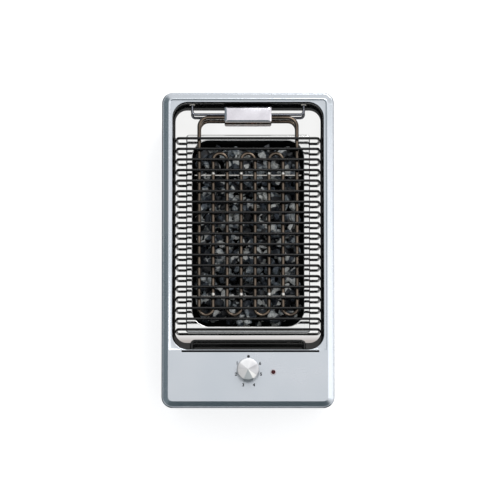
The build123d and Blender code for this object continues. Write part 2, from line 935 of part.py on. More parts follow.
with BuildPart() as bottom_cover:
    slab(cover_bottom, housing_bottom, housing_half, housing_front, housing_rear, housing_corner)
    edge_inset = housing_sheet + cover_gap
    slab(
        housing_bottom,
        housing_bottom + cover_edge,
        housing_half - edge_inset,
        housing_front + edge_inset,
        housing_rear - edge_inset,
        housing_corner - edge_inset,
    )
    slab(
        housing_bottom,
        housing_bottom + cover_edge + 1,
        housing_half - edge_inset - cover_sheet,
        housing_front + edge_inset + cover_sheet,
        housing_rear - edge_inset - cover_sheet,
        housing_corner - edge_inset - cover_sheet,
        Mode.SUBTRACT,
    )
    for y in cover_screw_ys:
        sideways(-housing_half, housing_half, y, cover_screw_level, screw_hole, Mode.SUBTRACT)
    with BuildSketch(Plane.XY.offset(cover_bottom - 1)):
        with Locations((0, sum(spacer_ys) / 2)):
            with GridLocations(vent_pitch_x, vent_pitch_y, vent_columns, vent_rows):
                SlotOverall(vent_length, vent_width)
    extrude(amount=cover_sheet + 2, mode=Mode.SUBTRACT)

with BuildPart() as cover_screws:
    shank_end = housing_half - edge_inset - cover_sheet - 2
    for side in (-1, 1):
        for y in cover_screw_ys:
            shank = sorted((side * shank_end, side * housing_half))
            head = sorted((side * housing_half, side * (housing_half + 1.8)))
            sideways(*shank, y, cover_screw_level, cover_screw_diameter / 2)
            sideways(*head, y, cover_screw_level, cover_screw_head / 2)

with BuildPart() as stud_nuts:
    nut_top = apron_under - housing_sheet
    for x, y in stud_places:
        hexagon(x, y, nut_top - nut_height, nut_top, nut_across_flats, stud_diameter / 2 + running_gap)

# Heat shield between the well and the bottom cover

shield_low = housing_bottom + shield_height

with BuildPart() as heat_shield:
    shield_half = well_half + shield_margin
    shield_front = well_front - shield_margin
    shield_rear = well_rear + shield_margin
    slab(
        shield_low,
        shield_low + shield_sheet + shield_edge,
        shield_half,
        shield_front,
        shield_rear,
        shield_corner,
    )
    slab(
        shield_low + shield_sheet,
        shield_low + shield_sheet + shield_edge + 1,
        shield_half - shield_sheet,
        shield_front + shield_sheet,
        shield_rear - shield_sheet,
        shield_corner - shield_sheet,
        Mode.SUBTRACT,
    )
    for side in (-1, 1):
        for y in spacer_ys:
            neck_hole = spacer_neck / 2 + running_gap
            upright(side * spacer_x, y, shield_low - 1, shield_low + 2, neck_hole, Mode.SUBTRACT)

with BuildPart() as shield_spacers:
    for side in (-1, 1):
        for y in spacer_ys:
            neck_top = shield_low + shield_sheet
            upright(side * spacer_x, y, housing_bottom, shield_low, spacer_diameter / 2)
            upright(side * spacer_x, y, shield_low, neck_top, spacer_neck / 2)
            upright(side * spacer_x, y, neck_top, neck_top + 1.2, spacer_diameter / 2 - 0.5)

# Heat baffle behind the controls, with a bush for each element lead

baffle_rear = opening_front - baffle_gap
baffle_half = housing_half - housing_sheet - baffle_side_gap

with BuildPart() as heat_baffle:
    foot_low = housing_bottom + 0.1
    baffle_front = baffle_rear - baffle_sheet
    baffle_top = apron_under - housing_sheet - 0.3
    block(-baffle_half, baffle_half, baffle_front, baffle_rear, foot_low, baffle_top)
    block(-baffle_half, baffle_half, baffle_front - baffle_foot, baffle_rear, foot_low, foot_low + baffle_sheet)
    for side in (-1, 1):
        lengthways(side * wire_x, baffle_front - 1, baffle_rear + 1, wire_level, bush_hole / 2, Mode.SUBTRACT)

with BuildPart() as baffle_bushes:
    for side in (-1, 1):
        bush_x = side * wire_x
        lengthways(bush_x, baffle_front - 1.2, baffle_front, wire_level, bush_flange / 2)
        lengthways(bush_x, baffle_front, baffle_rear, wire_level, bush_hole / 2)
        lengthways(bush_x, baffle_rear, baffle_rear + 1.2, wire_level, bush_flange / 2)
        bush_bore = wire_diameter / 2 + bush_gap
        lengthways(bush_x, baffle_front - 2, baffle_rear + 2, wire_level, bush_bore, Mode.SUBTRACT)

# Energy regulator: case, cover with the shaft's bushing, blades and screws

regulator_low = plate_under - regulator_height
cover_under = plate_under - regulator_cover_sheet

with BuildPart() as regulator_case:
    half_width = regulator_width / 2
    half_depth = regulator_depth / 2
    block(-half_width, half_width, knob_y - half_depth, knob_y + half_depth, regulator_low, cover_under)
    fillet(regulator_case.edges().filter_by(Axis.Z), 2.0)
    block(
        -half_width + regulator_wall,
        half_width - regulator_wall,
        knob_y - half_depth + regulator_wall,
        knob_y + half_depth - regulator_wall,
        regulator_low + regulator_wall,
        cover_under + 1,
        Mode.SUBTRACT,
    )
    for x in (-blade_reach_x, blade_reach_x):
        for y in (knob_y - blade_reach_y, knob_y + blade_reach_y):
            block(
                x - blade_width / 2 - running_gap,
                x + blade_width / 2 + running_gap,
                y - blade_sheet / 2 - running_gap,
                y + blade_sheet / 2 + running_gap,
                regulator_low - 1,
                regulator_low + regulator_wall + 1,
                Mode.SUBTRACT,
            )

with BuildPart() as regulator_cover:
    block(-half_width, half_width, knob_y - half_depth, knob_y + half_depth, cover_under, plate_under)
    upright(0, knob_y, cover_under - 5, cover_under, 5.5)
    upright(0, knob_y, cover_under - 6, plate_under + 1, shaft_diameter / 2 + running_gap, Mode.SUBTRACT)
    for side in (-1, 1):
        screw_x = side * regulator_screw_reach
        screw_bore = regulator_screw_diameter / 2 + running_gap
        upright(screw_x, knob_y, cover_under - 1, plate_under + 1, screw_bore, Mode.SUBTRACT)

with BuildPart() as regulator_blades:
    for x in (-blade_reach_x, blade_reach_x):
        for y in (knob_y - blade_reach_y, knob_y + blade_reach_y):
            block(
                x - blade_width / 2,
                x + blade_width / 2,
                y - blade_sheet / 2,
                y + blade_sheet / 2,
                blade_end,
                regulator_low + regulator_wall + blade_inside,
            )

with BuildPart() as regulator_screws:
    for side in (-1, 1):
        screw_x = side * regulator_screw_reach
        upright(screw_x, knob_y, cover_under - 4, plate_top, regulator_screw_diameter / 2)
        upright(screw_x, knob_y, plate_top, plate_top + 1.8, regulator_screw_head / 2)

shaft_top = plate_top + shaft_above_plate

with BuildPart() as regulator_shaft:
    shaft_low = regulator_low + regulator_wall + 0.1
    upright(0, knob_y, shaft_low, shaft_top, shaft_diameter / 2)
    upright(0, knob_y, cam_level, cam_level + cam_height, cam_diameter / 2)
    block(
        -cam_diameter,
        cam_diameter,
        knob_y + cam_diameter / 4,
        knob_y + cam_diameter,
        cam_level - 1,
        cam_level + cam_height + 1,
        Mode.SUBTRACT,
    )
    block(
        -shaft_diameter,
        shaft_diameter,
        knob_y - shaft_diameter,
        knob_y - shaft_diameter / 2 + shaft_flat,
        plate_top + 0.6,
        shaft_top + 1,
        Mode.SUBTRACT,
    )

with BuildPart() as shaft_seal:
    upright(0, knob_y, plate_top, plate_top + 0.9, hub_diameter / 2 + 0.5)
    upright(0, knob_y, plate_top - 1, plate_top + 2, shaft_diameter / 2 + 0.3, Mode.SUBTRACT)

# Knob: a spun metal cap on a moulded core, with a spring clip round its hub

knob_low = plate_top + knob_gap
knob_top = knob_low + knob_height
knob_lean = degrees(atan((knob_diameter - knob_top_diameter) / 2 / knob_height))


def knob_body(low, high, radius):
    """The knob's slightly conical outside."""
    with BuildSketch(Plane.XY.offset(low)) as profile:
        with Locations((0, knob_y)):
            Circle(radius)
    extrude(profile.sketch, amount=high - low, taper=knob_lean)


with BuildPart() as knob_hollow:
    knob_body(knob_low, knob_top - knob_wall, knob_diameter / 2 - knob_wall)

with BuildPart() as knob_cap:
    knob_body(knob_low, knob_top, knob_diameter / 2)
    fillet(loop_at(knob_cap, knob_top), knob_edge)
    add(knob_hollow.part, mode=Mode.SUBTRACT)
    pointer_end = knob_y + knob_top_diameter / 2 - pointer_edge_gap
    block(
        -pointer_width / 2,
        pointer_width / 2,
        pointer_end - pointer_length,
        pointer_end,
        knob_top - 0.3,
        knob_top + 1,
        Mode.SUBTRACT,
    )

with BuildPart() as knob_core:
    core_top = knob_top - knob_wall - core_gap
    core_radius = knob_top_diameter / 2 - knob_wall - core_gap
    upright(0, knob_y, core_top - core_height, core_top, core_radius)
    upright(0, knob_y, knob_low + core_gap, core_top - core_height, hub_diameter / 2)
    with BuildSketch(Plane.XY.offset(knob_low - 1)):
        with Locations((0, knob_y)):
            Circle(shaft_diameter / 2 + running_gap)
        flat_y = knob_y - shaft_diameter / 2 + shaft_flat - running_gap
        with Locations((0, flat_y - shaft_diameter)):
            Rectangle(2 * shaft_diameter, 2 * shaft_diameter, mode=Mode.SUBTRACT)
    extrude(amount=shaft_top + 0.5 - knob_low + 1, mode=Mode.SUBTRACT)

with BuildPart() as knob_clip:
    clip_low = knob_low + 2
    upright(0, knob_y, clip_low, clip_low + 4, hub_diameter / 2 + running_gap + 0.6)
    upright(0, knob_y, clip_low - 1, clip_low + 5, hub_diameter / 2 + running_gap, Mode.SUBTRACT)
    block(-1.5, 1.5, knob_y, knob_y + hub_diameter, clip_low - 1, clip_low + 5, Mode.SUBTRACT)

# Indicator lamp: body through the plate, bezel and lens on top, push-on retainer below

with BuildPart() as lamp_body:
    body_low = plate_top - lamp_body_depth
    upright(lamp_x, lamp_y, body_low, plate_top, lamp_body_diameter / 2)
    upright(lamp_x, lamp_y, body_low + 1, plate_top + 1, lamp_bore / 2, Mode.SUBTRACT)

with BuildPart() as lamp_bezel:
    bezel_top = plate_top + lamp_bezel_height
    upright(lamp_x, lamp_y, plate_top, bezel_top, lamp_bezel_diameter / 2)
    fillet(loop_at(lamp_bezel, bezel_top), 0.8)
    upright(lamp_x, lamp_y, plate_top - 1, bezel_top + 1, lamp_bore / 2, Mode.SUBTRACT)

with BuildPart() as lamp_lens:
    lens_top = bezel_top + 0.6
    upright(lamp_x, lamp_y, plate_top - 4, lens_top, lamp_bore / 2 - running_gap)
    fillet(loop_at(lamp_lens, lens_top), 1.5)

with BuildPart() as lamp_retainer:
    upright(lamp_x, lamp_y, plate_under - 0.8, plate_under, lamp_retainer_diameter / 2)
    retainer_bore = lamp_body_diameter / 2 + running_gap
    upright(lamp_x, lamp_y, plate_under - 2, plate_under + 1, retainer_bore, Mode.SUBTRACT)

# Mains terminal block, its screws, the cable grommet and the earth stud

block_top = housing_bottom + block_height
screw_spots = ((block_x - 15, block_y - 6), (block_x, block_y + 9), (block_x + 15, block_y + 6))

with BuildPart() as mains_block:
    block(
        block_x - block_width / 2,
        block_x + block_width / 2,
        block_y - block_depth / 2,
        block_y + block_depth / 2,
        housing_bottom,
        block_top,
    )
    fillet(mains_block.edges().filter_by(Axis.Z), 2.0)
    chamfer(loop_at(mains_block, block_top), 1.0)
    for x, y in screw_spots:
        upright(x, y, block_top - 10, block_top + 1, block_screw_diameter / 2 + running_gap, Mode.SUBTRACT)

with BuildPart() as mains_block_screws:
    for x, y in screw_spots:
        upright(x, y, block_top - 9, block_top, block_screw_diameter / 2)
        upright(x, y, block_top, block_top + 1.6, block_screw_diameter * 0.8)

with BuildPart() as cable_grommet:
    wall_out = -housing_half
    wall_in = -housing_half + housing_sheet
    sideways(wall_out - grommet_lip, wall_out, block_y, grommet_level, grommet_flange_diameter / 2)
    sideways(wall_out, wall_in, block_y, grommet_level, grommet_diameter / 2)
    sideways(wall_in, wall_in + grommet_lip, block_y, grommet_level, grommet_flange_diameter / 2)
    sideways(wall_out - 5, wall_in + 5, block_y, grommet_level, cable_bore / 2, Mode.SUBTRACT)

earth_y = knob_y - 32

with BuildPart() as earth_stud:
    upright(earth_stud_x, earth_y, housing_bottom, housing_bottom + earth_stud_height, 2.5)

with BuildPart() as earth_nut:
    hexagon(earth_stud_x, earth_y, housing_bottom, housing_bottom + 4, 8.0, 2.5 + running_gap)

# Wires: the leads of the element, the mains pair, the earth and the lamp pair

lead_start = ceramic_half + link_sheet + 0.3
lead_blade_y = knob_y + blade_reach_y
lead_bends = [hinge_bend, gland_bend, wire_bend, wire_bend, wire_bend, wire_bend]

with BuildPart() as element_leads:
    for side in (-1, 1):
        lead_points = [
            (side * lead_start, hinge_y, hinge_level),
            (side * hinge_reach, hinge_y, hinge_level),
            (side * hinge_reach, wire_rear_y, hinge_level),
            (side * hinge_reach, wire_rear_y, wire_level),
            (side * wire_x, wire_rear_y, wire_level),
            (side * wire_x, lead_blade_y, wire_level),
            (side * blade_reach_x, lead_blade_y, wire_level),
            (side * blade_reach_x, lead_blade_y, blade_end),
        ]
        wire(lead_points, wire_diameter / 2, lead_bends)

mains_blade_y = knob_y - blade_reach_y
neutral_level = wire_level - 10
live_level = wire_level + 6
neutral_points = [
    (-blade_reach_x, mains_blade_y, blade_end),
    (-blade_reach_x, mains_blade_y, neutral_level),
    (block_x - 15, block_y + 8, neutral_level),
    (block_x - 15, block_y + 8, block_top),
]
live_points = [
    (blade_reach_x, mains_blade_y, blade_end),
    (blade_reach_x, mains_blade_y, live_level),
    (block_x + 15, block_y - 13, live_level),
    (block_x + 15, block_y - 13, block_top),
]

with BuildPart() as mains_wires:
    wire(neutral_points, wire_diameter / 2, wire_bend)
    wire(live_points, wire_diameter / 2, wire_bend)

with BuildPart() as earth_wire:
    earth_level = wire_level + 14
    earth_points = [
        (block_x, block_y - 5, block_top),
        (block_x, block_y - 5, earth_level),
        (earth_stud_x, earth_y, earth_level),
        (earth_stud_x, earth_y, housing_bottom + earth_stud_height),
    ]
    wire(earth_points, wire_diameter / 2, wire_bend)

with BuildPart() as lamp_wires:
    for offset, drop in ((-1.8, 10), (1.8, 6)):
        lamp_points = [
            (lamp_x - offset, lamp_y + offset, body_low),
            (lamp_x - offset, lamp_y + offset, body_low - drop),
            (regulator_width / 2, lamp_y + offset, body_low - drop),
        ]
        wire(lamp_points, lamp_wire_diameter / 2, 3.0)

# Worktop clamps: slotted hooks that slide up under the worktop, with their screws and nuts

clamp_inner = housing_half + clamp_gap
clamp_outer = clamp_inner + clamp_sheet
clamps = []

for side, y in clamp_places:
    with BuildPart() as clamp:
        leg = sorted((side * clamp_inner, side * clamp_outer))
        toe = sorted((side * clamp_outer, side * (clamp_outer + clamp_toe_length)))
        block(*leg, y - clamp_width / 2, y + clamp_width / 2, clamp_bottom, clamp_top)
        block(*toe, y - clamp_width / 2, y + clamp_width / 2, clamp_top - clamp_sheet, clamp_top)
        slot_radius = clamp_screw_diameter / 2 + clamp_gap
        with BuildSketch(Plane.YZ.offset(leg[0] - 1)):
            with Locations((y, clamp_screw_level - clamp_travel / 2)):
                SlotCenterToCenter(clamp_travel, 2 * slot_radius, rotation=90)
        extrude(amount=clamp_sheet + 2, mode=Mode.SUBTRACT)
    clamps.append(clamp)

with BuildPart() as clamp_screws:
    for side, y in clamp_places:
        shank = sorted((side * (housing_half - 6), side * (clamp_outer + clamp_gap)))
        head = sorted((side * (clamp_outer + clamp_gap), side * (clamp_outer + clamp_gap + 3)))
        sideways(*shank, y, clamp_screw_level, clamp_screw_diameter / 2)
        sideways(*head, y, clamp_screw_level, clamp_screw_head / 2)

with BuildPart() as clamp_nuts:
    for side, y in clamp_places:
        nut_ends = sorted((side * (housing_half - 5), side * (housing_half - housing_sheet)))
        with BuildSketch(Plane.YZ.offset(nut_ends[0])):
            with Locations((y, clamp_screw_level)):
                RegularPolygon(4.0, 6, major_radius=False)
                Circle(clamp_screw_diameter / 2 + running_gap, mode=Mode.SUBTRACT)
        extrude(amount=nut_ends[1] - nut_ends[0])

# Names and files

pieces = {
    "top_plate": top_plate,
    "rim_seal": rim_seal,
    "basin": basin,
    "well_pan": well_pan,
    "reflector": reflector,
    "lava_tray": lava_tray,
    "lava_rocks": lava_rocks,
    "grill_grate": grill_grate,
    "heating_element": heating_element,
    "element_pins": element_pins,
    "front_strip": front_strip,
    "rear_strip": rear_strip,
    "element_clips": element_clips,
    "terminal_box_body": terminal_box_body,
    "terminal_box_lid": terminal_box_lid,
    "terminal_ceramic": terminal_ceramic,
    "terminal_links": terminal_links,
    "box_screws": box_screws,
    "hinge_tubes": hinge_tubes,
    "hinge_glands": hinge_glands,
    "front_rest_rod": front_rest_rod,
    "housing_front_panel": housing_front_panel,
    "housing_rear_panel": housing_rear_panel,
    "housing_left_panel": housing_left_panel,
    "housing_right_panel": housing_right_panel,
    "bottom_cover": bottom_cover,
    "cover_screws": cover_screws,
    "stud_nuts": stud_nuts,
    "heat_shield": heat_shield,
    "shield_spacers": shield_spacers,
    "heat_baffle": heat_baffle,
    "baffle_bushes": baffle_bushes,
    "regulator_case": regulator_case,
    "regulator_cover": regulator_cover,
    "regulator_blades": regulator_blades,
    "regulator_screws": regulator_screws,
    "regulator_shaft": regulator_shaft,
    "shaft_seal": shaft_seal,
    "knob_cap": knob_cap,
    "knob_core": knob_core,
    "knob_clip": knob_clip,
    "lamp_body": lamp_body,
    "lamp_bezel": lamp_bezel,
    "lamp_lens": lamp_lens,
    "lamp_retainer": lamp_retainer,
    "mains_block": mains_block,
    "mains_block_screws": mains_block_screws,
    "cable_grommet": cable_grommet,
    "earth_stud": earth_stud,
    "earth_nut": earth_nut,
    "element_leads": element_leads,
    "mains_wires": mains_wires,
    "earth_wire": earth_wire,
    "lamp_wires": lamp_wires,
    "clamp_screws": clamp_screws,
    "clamp_nuts": clamp_nuts,
}
for number, clamp in enumerate(clamps, start=1):
    pieces[f"worktop_clamp_{number}"] = clamp

os.makedirs("parts", exist_ok=True)
for name, piece in pieces.items():
    piece.part.label = name
    export_step(piece.part, f"parts/{name}.step")

print(len(pieces), "pieces,", len(lava_rocks.part.solids()), "rocks,", bar_steps + 1, "bars")
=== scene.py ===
import math
import random

import bmesh
import bpy
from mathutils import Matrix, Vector


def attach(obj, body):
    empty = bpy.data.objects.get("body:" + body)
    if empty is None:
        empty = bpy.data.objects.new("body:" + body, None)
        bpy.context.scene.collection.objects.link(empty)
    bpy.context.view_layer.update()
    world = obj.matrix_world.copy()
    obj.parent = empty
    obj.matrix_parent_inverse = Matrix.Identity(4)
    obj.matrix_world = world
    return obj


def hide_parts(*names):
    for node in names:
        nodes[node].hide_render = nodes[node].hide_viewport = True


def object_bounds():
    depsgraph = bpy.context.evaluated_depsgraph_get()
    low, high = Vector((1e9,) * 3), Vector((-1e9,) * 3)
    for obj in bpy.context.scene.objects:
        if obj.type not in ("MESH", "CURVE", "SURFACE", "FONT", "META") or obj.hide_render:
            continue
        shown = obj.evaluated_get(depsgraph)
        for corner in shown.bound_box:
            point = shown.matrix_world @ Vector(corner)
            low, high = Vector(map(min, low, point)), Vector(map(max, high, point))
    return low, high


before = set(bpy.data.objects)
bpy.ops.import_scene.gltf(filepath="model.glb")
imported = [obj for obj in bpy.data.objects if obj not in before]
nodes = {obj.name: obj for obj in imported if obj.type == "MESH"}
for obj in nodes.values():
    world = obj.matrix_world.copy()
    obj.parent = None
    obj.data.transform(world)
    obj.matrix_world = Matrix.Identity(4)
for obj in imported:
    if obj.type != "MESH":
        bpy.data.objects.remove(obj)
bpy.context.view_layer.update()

mm = 0.001
tolerance = 0.01 * mm


# Small helpers

def hexColour(text):
    channels = [int(text[i:i + 2], 16) / 255 for i in (1, 3, 5)]
    return [c / 12.92 if c <= 0.04045 else ((c + 0.055) / 1.055) ** 2.4 for c in channels] + [1.0]


def addNode(tree, kind, inputs=None, stops=None, **settings):
    node = tree.nodes.new("ShaderNode" + kind)
    for key, value in settings.items():
        setattr(node, key, value)
    for key, value in (inputs or {}).items():
        if isinstance(value, bpy.types.NodeSocket):
            tree.links.new(value, node.inputs[key])
        else:
            node.inputs[key].default_value = value
    for i, (place, colour) in enumerate(stops or []):  # only a colour ramp has stops
        stop = node.color_ramp.elements[i] if i < 2 else node.color_ramp.elements.new(place)
        stop.position = place
        stop.color = colour
    return node


def clearSelection():
    if bpy.context.object and bpy.context.object.mode != "OBJECT":
        bpy.ops.object.mode_set(mode="OBJECT")
    bpy.ops.object.select_all(action="DESELECT")


def namePiece(name):
    piece = bpy.context.object
    piece.name = name
    piece.data.name = name
    return piece


def applyAll(piece):
    clearSelection()
    bpy.context.view_layer.objects.active = piece
    piece.select_set(True)
    for modifier in list(piece.modifiers):
        bpy.ops.object.modifier_apply(modifier=modifier.name)
    bpy.ops.object.transform_apply(location=True, rotation=True, scale=True)


def joinPieces(pieces, name):
    clearSelection()
    for piece in pieces:
        piece.select_set(True)
    bpy.context.view_layer.objects.active = pieces[0]
    bpy.ops.object.join()
    return namePiece(name)


def smoothPiece(piece, angle=35):
    clearSelection()
    bpy.context.view_layer.objects.active = piece
    piece.select_set(True)
    bpy.ops.object.shade_smooth_by_angle(angle=math.radians(angle))


def fixNormals(piece):
    clearSelection()
    bpy.context.view_layer.objects.active = piece
    piece.select_set(True)
    bpy.ops.object.mode_set(mode="EDIT")
    bpy.ops.mesh.select_all(action="SELECT")
    bpy.ops.mesh.remove_doubles(threshold=tolerance)
    bpy.ops.mesh.normals_make_consistent(inside=False)
    bpy.ops.object.mode_set(mode="OBJECT")


def dress(piece, material, body, replaced=()):
    piece.data.materials.clear()
    piece.data.materials.append(material)
    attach(piece, body)
    if replaced:
        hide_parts(*replaced)


# Materials. Object coordinates are in metres, so a pattern of s mm has a scale of 1000 / s

def makeMaterial(name, look):
    material = bpy.data.materials.new(name)
    material.use_nodes = True
    tree = material.node_tree
    shader = tree.nodes["Principled BSDF"]
    for key, value in look.get("shader", {}).items():
        shader.inputs[key].default_value = value
    place = addNode(tree, "TexCoord")
    grained = addNode(tree, "Mapping", {
        "Vector": place.outputs["Object"], "Scale": look.get("stretch", (1, 1, 1)),
    })
    grain = addNode(tree, "TexNoise", {
        "Vector": grained.outputs["Vector"], "Scale": 1000 / look["grainMm"],
        "Detail": look.get("detail", 4.0), "Roughness": 0.6,
    })
    cloud = addNode(tree, "TexNoise", {
        "Vector": place.outputs["Object"], "Scale": 1000 / look["cloudMm"], "Detail": 3.0, "Roughness": 0.55,
    })
    mixed = addNode(tree, "Mix", {
        0: look.get("grainShare", 0.3), 2: cloud.outputs["Fac"], 3: grain.outputs["Fac"],
    })
    tint = addNode(tree, "ValToRGB", {"Fac": mixed.outputs[0]},
                   stops=[(stop, hexColour(colour)) for stop, colour in look["colours"]])
    shade = tint.outputs["Color"]
    # painted reflection: towards the front, the colour is blended into a given tone that stands for what the
    # surface mirrors there
    if look.get("paintedFrontReflection"):
        reflectedColour, clearY, tintedY = look["paintedFrontReflection"]
        apart = addNode(tree, "SeparateXYZ", {0: place.outputs["Object"]})
        reach = addNode(tree, "MapRange", {
            "Value": apart.outputs["Y"], "From Min": clearY * mm, "From Max": tintedY * mm,
        })
        tinted = addNode(tree, "MixRGB", {0: reach.outputs["Result"], 1: shade, 2: hexColour(reflectedColour)})
        shade = tinted.outputs[0]
    tree.links.new(shade, shader.inputs["Base Color"])
    rough = addNode(tree, "MapRange", {
        "Value": mixed.outputs[0], "From Min": 0.3, "From Max": 0.7,
        "To Min": look["rough"][0], "To Max": look["rough"][1],
    })
    tree.links.new(rough.outputs["Result"], shader.inputs["Roughness"])
    if look.get("bumpMm"):
        bump = addNode(tree, "Bump", {
            "Height": grain.outputs["Fac"], "Distance": look["bumpMm"] * mm,
            "Strength": look.get("bumpStrength", 0.6),
        })
        tree.links.new(bump.outputs["Normal"], shader.inputs["Normal"])
    return material


# Austenitic steel sheet with a fine satin finish: pale, even, with soft wide highlights
satinSteel = makeMaterial("satinStainlessSheet", {
    "colours": [(0.35, "#C3C9D0"), (0.65, "#CBCFD5")],
    "grainMm": 0.6, "stretch": (0.03, 1, 1), "cloudMm": 160, "grainShare": 0.08,
    "rough": (0.25, 0.29),
    "shader": {"Metallic": 1.0},
})

# Bright-annealed steel sheet, buffed: a mirror with the slight waves of a pressing
mirrorSteel = makeMaterial("buffedStainlessMirror", {
    "colours": [(0.3, "#EFEFEE"), (0.7, "#F8F8F8")],
    "grainMm": 55, "cloudMm": 130, "grainShare": 0.5,
    "rough": (0.035, 0.07), "bumpMm": 0.35, "bumpStrength": 0.5, "detail": 1.0,
    "paintedFrontReflection": ("#B7B1AE", -134, -146),  # painted reflection: the front edge is blended to the pinkish grey it mirrors there
    "shader": {"Metallic": 1.0},
})

# Vitreous enamel fired on steel: deep black with a wet gloss and a slight orange peel
blackEnamel = makeMaterial("blackVitreousEnamel", {
    "colours": [(0.3, "#050505"), (0.7, "#0A0A0B")],
    "grainMm": 2.2, "cloudMm": 60, "rough": (0.2, 0.3), "bumpMm": 0.03, "bumpStrength": 0.35,
    "shader": {"Specular IOR Level": 0.4},
})

# The same enamel inside the basin: smoother, a little smoked, and glossy enough to mirror the floor
smokedEnamel = makeMaterial("smokedVitreousEnamel", {
    "colours": [(0.3, "#080808"), (0.7, "#0E0E0E")],
    "grainMm": 2.2, "cloudMm": 60, "rough": (0.1, 0.2), "bumpMm": 0.03, "bumpStrength": 0.3,
    "shader": {"Specular IOR Level": 0.5},
})

# Drawn steel sheet of the tray's flange, polished and faintly dulled by heat
traySteel = makeMaterial("drawnStainlessTray", {
    "colours": [(0.3, "#E2E2E1"), (0.7, "#F2F2F2")],
    "grainMm": 3, "cloudMm": 70, "rough": (0.06, 0.12), "bumpMm": 0.004, "bumpStrength": 0.3,
    "shader": {"Metallic": 1.0},
})

# Painted shade on the tray's inside, under the rocks: black, with a dry, crusted roughness
paintedShadeTraySteel = makeMaterial("paintedShadeTrayInside", {
    "colours": [(0.3, "#050505"), (0.7, "#111110")],
    "grainMm": 1.8, "cloudMm": 12, "rough": (0.7, 0.9), "bumpMm": 0.1,
    "shader": {"Specular IOR Level": 0.2},
})

# Painted shade in the joint behind the panel: black and matt, standing for the shadow gap between the sheets
paintedJointShade = makeMaterial("paintedShadeInJoint", {
    "colours": [(0.3, "#060607"), (0.7, "#0D0D0F")],
    "grainMm": 0.6, "cloudMm": 9, "rough": (0.8, 0.95), "bumpMm": 0.01,
    "shader": {"Specular IOR Level": 0.02},
})

# Basalt lava, broken and tumbled: each lump has its own grey, with dry pits; the palest greys are painted
# highlights on broken faces
def makeStone():
    material = bpy.data.materials.new("brokenLavaStone")
    material.use_nodes = True
    tree = material.node_tree
    shader = tree.nodes["Principled BSDF"]
    shader.inputs["Specular IOR Level"].default_value = 0.55
    place = addNode(tree, "TexCoord")
    lumps = addNode(tree, "TexVoronoi", {"Vector": place.outputs["Object"], "Scale": 1000 / 13})
    lump = addNode(tree, "SeparateColor", {0: lumps.outputs["Color"]})
    veins = addNode(tree, "TexNoise", {
        "Vector": place.outputs["Object"], "Scale": 1000 / 4.2, "Detail": 8.0, "Roughness": 0.75,
    })
    both = addNode(tree, "Mix", {0: 0.5, 2: lump.outputs[0], 3: veins.outputs["Fac"]})
    # partly painted highlight: the palest stops stand in for glints on the facets, the darker ones are the
    # lumps' own greys
    tint = addNode(tree, "ValToRGB", {"Fac": both.outputs[0]}, stops=[
        (0.31, hexColour("#0B0D11")), (0.44, hexColour("#262C34")), (0.53, hexColour("#4C555F")),
        (0.61, hexColour("#7C858A")), (0.69, hexColour("#D2D4D0")),
    ])
    tree.links.new(tint.outputs["Color"], shader.inputs["Base Color"])
    rough = addNode(tree, "MapRange", {"Value": veins.outputs["Fac"], "To Min": 0.3, "To Max": 0.75})
    tree.links.new(rough.outputs["Result"], shader.inputs["Roughness"])
    pits = addNode(tree, "TexNoise", {
        "Vector": place.outputs["Object"], "Scale": 1000 / 2.2, "Detail": 4.0, "Roughness": 0.6,
    })
    bump = addNode(tree, "Bump", {"Height": pits.outputs["Fac"], "Distance": 0.7 * mm, "Strength": 0.85})
    tree.links.new(bump.outputs["Normal"], shader.inputs["Normal"])
    return material


lavaStone = makeStone()

# Nickel-iron heater sheath, oxidised by use: brown-grey with a narrow metal sheen along the tube
heaterSheath = makeMaterial("oxidisedHeaterSheath", {
    "colours": [(0.3, "#403A35"), (0.5, "#665B51"), (0.7, "#7C6E60")],
    "grainMm": 1.2, "cloudMm": 24, "rough": (0.12, 0.2), "bumpMm": 0.01,
    "shader": {"Metallic": 1.0},
})

# Rolled steel strip, cut and bent, bright on its faces
brightStrip = makeMaterial("rolledStainlessStrip", {
    "colours": [(0.3, "#B9B6B1"), (0.7, "#DAD8D4")],
    "grainMm": 0.8, "stretch": (0.05, 1, 1), "cloudMm": 18, "rough": (0.2, 0.32), "bumpMm": 0.01,
    "shader": {"Metallic": 1.0},
})

# Pressed and polished steel of the terminal box: pale with a faint violet cast from the heat
boxSteel = makeMaterial("polishedStainlessPressing", {
    "colours": [(0.3, "#D2CFD6"), (0.7, "#E6E4EA")],
    "grainMm": 1.5, "cloudMm": 30, "rough": (0.14, 0.24), "bumpMm": 0.01,
    "shader": {"Metallic": 1.0},
})

# The box's lower pressing, browned by the heat next to the element
brownedSteel = makeMaterial("heatBrownedPressing", {
    "colours": [(0.3, "#3E382E"), (0.5, "#5A4A3C"), (0.7, "#6B4238")],
    "grainMm": 1.5, "cloudMm": 22, "rough": (0.2, 0.32), "bumpMm": 0.01,
    "shader": {"Metallic": 0.9},
})

# Drawn steel tube, bluish grey and slightly dulled by heat
tubeSteel = makeMaterial("drawnStainlessTube", {
    "colours": [(0.3, "#5F626A"), (0.7, "#868890")],
    "grainMm": 0.6, "cloudMm": 15, "rough": (0.2, 0.3), "bumpMm": 0.008,
    "shader": {"Metallic": 1.0},
})

# Hot-dip galvanised sheet: cold grey spangles a few millimetres across
galvanised = makeMaterial("galvanisedSheet", {
    "colours": [(0.3, "#A3A8AB"), (0.7, "#BFC4C6")],
    "grainMm": 7, "cloudMm": 90, "grainShare": 0.7, "rough": (0.3, 0.48), "bumpMm": 0.02,
    "shader": {"Metallic": 0.9},
})

# Zinc-plated turned steel: cool, fairly bright, with faint tool marks
zincSteel = makeMaterial("zincPlatedSteel", {
    "colours": [(0.3, "#B6BBC0"), (0.7, "#D0D4D8")],
    "grainMm": 0.5, "cloudMm": 6, "rough": (0.22, 0.36), "bumpMm": 0.01,
    "shader": {"Metallic": 1.0},
})

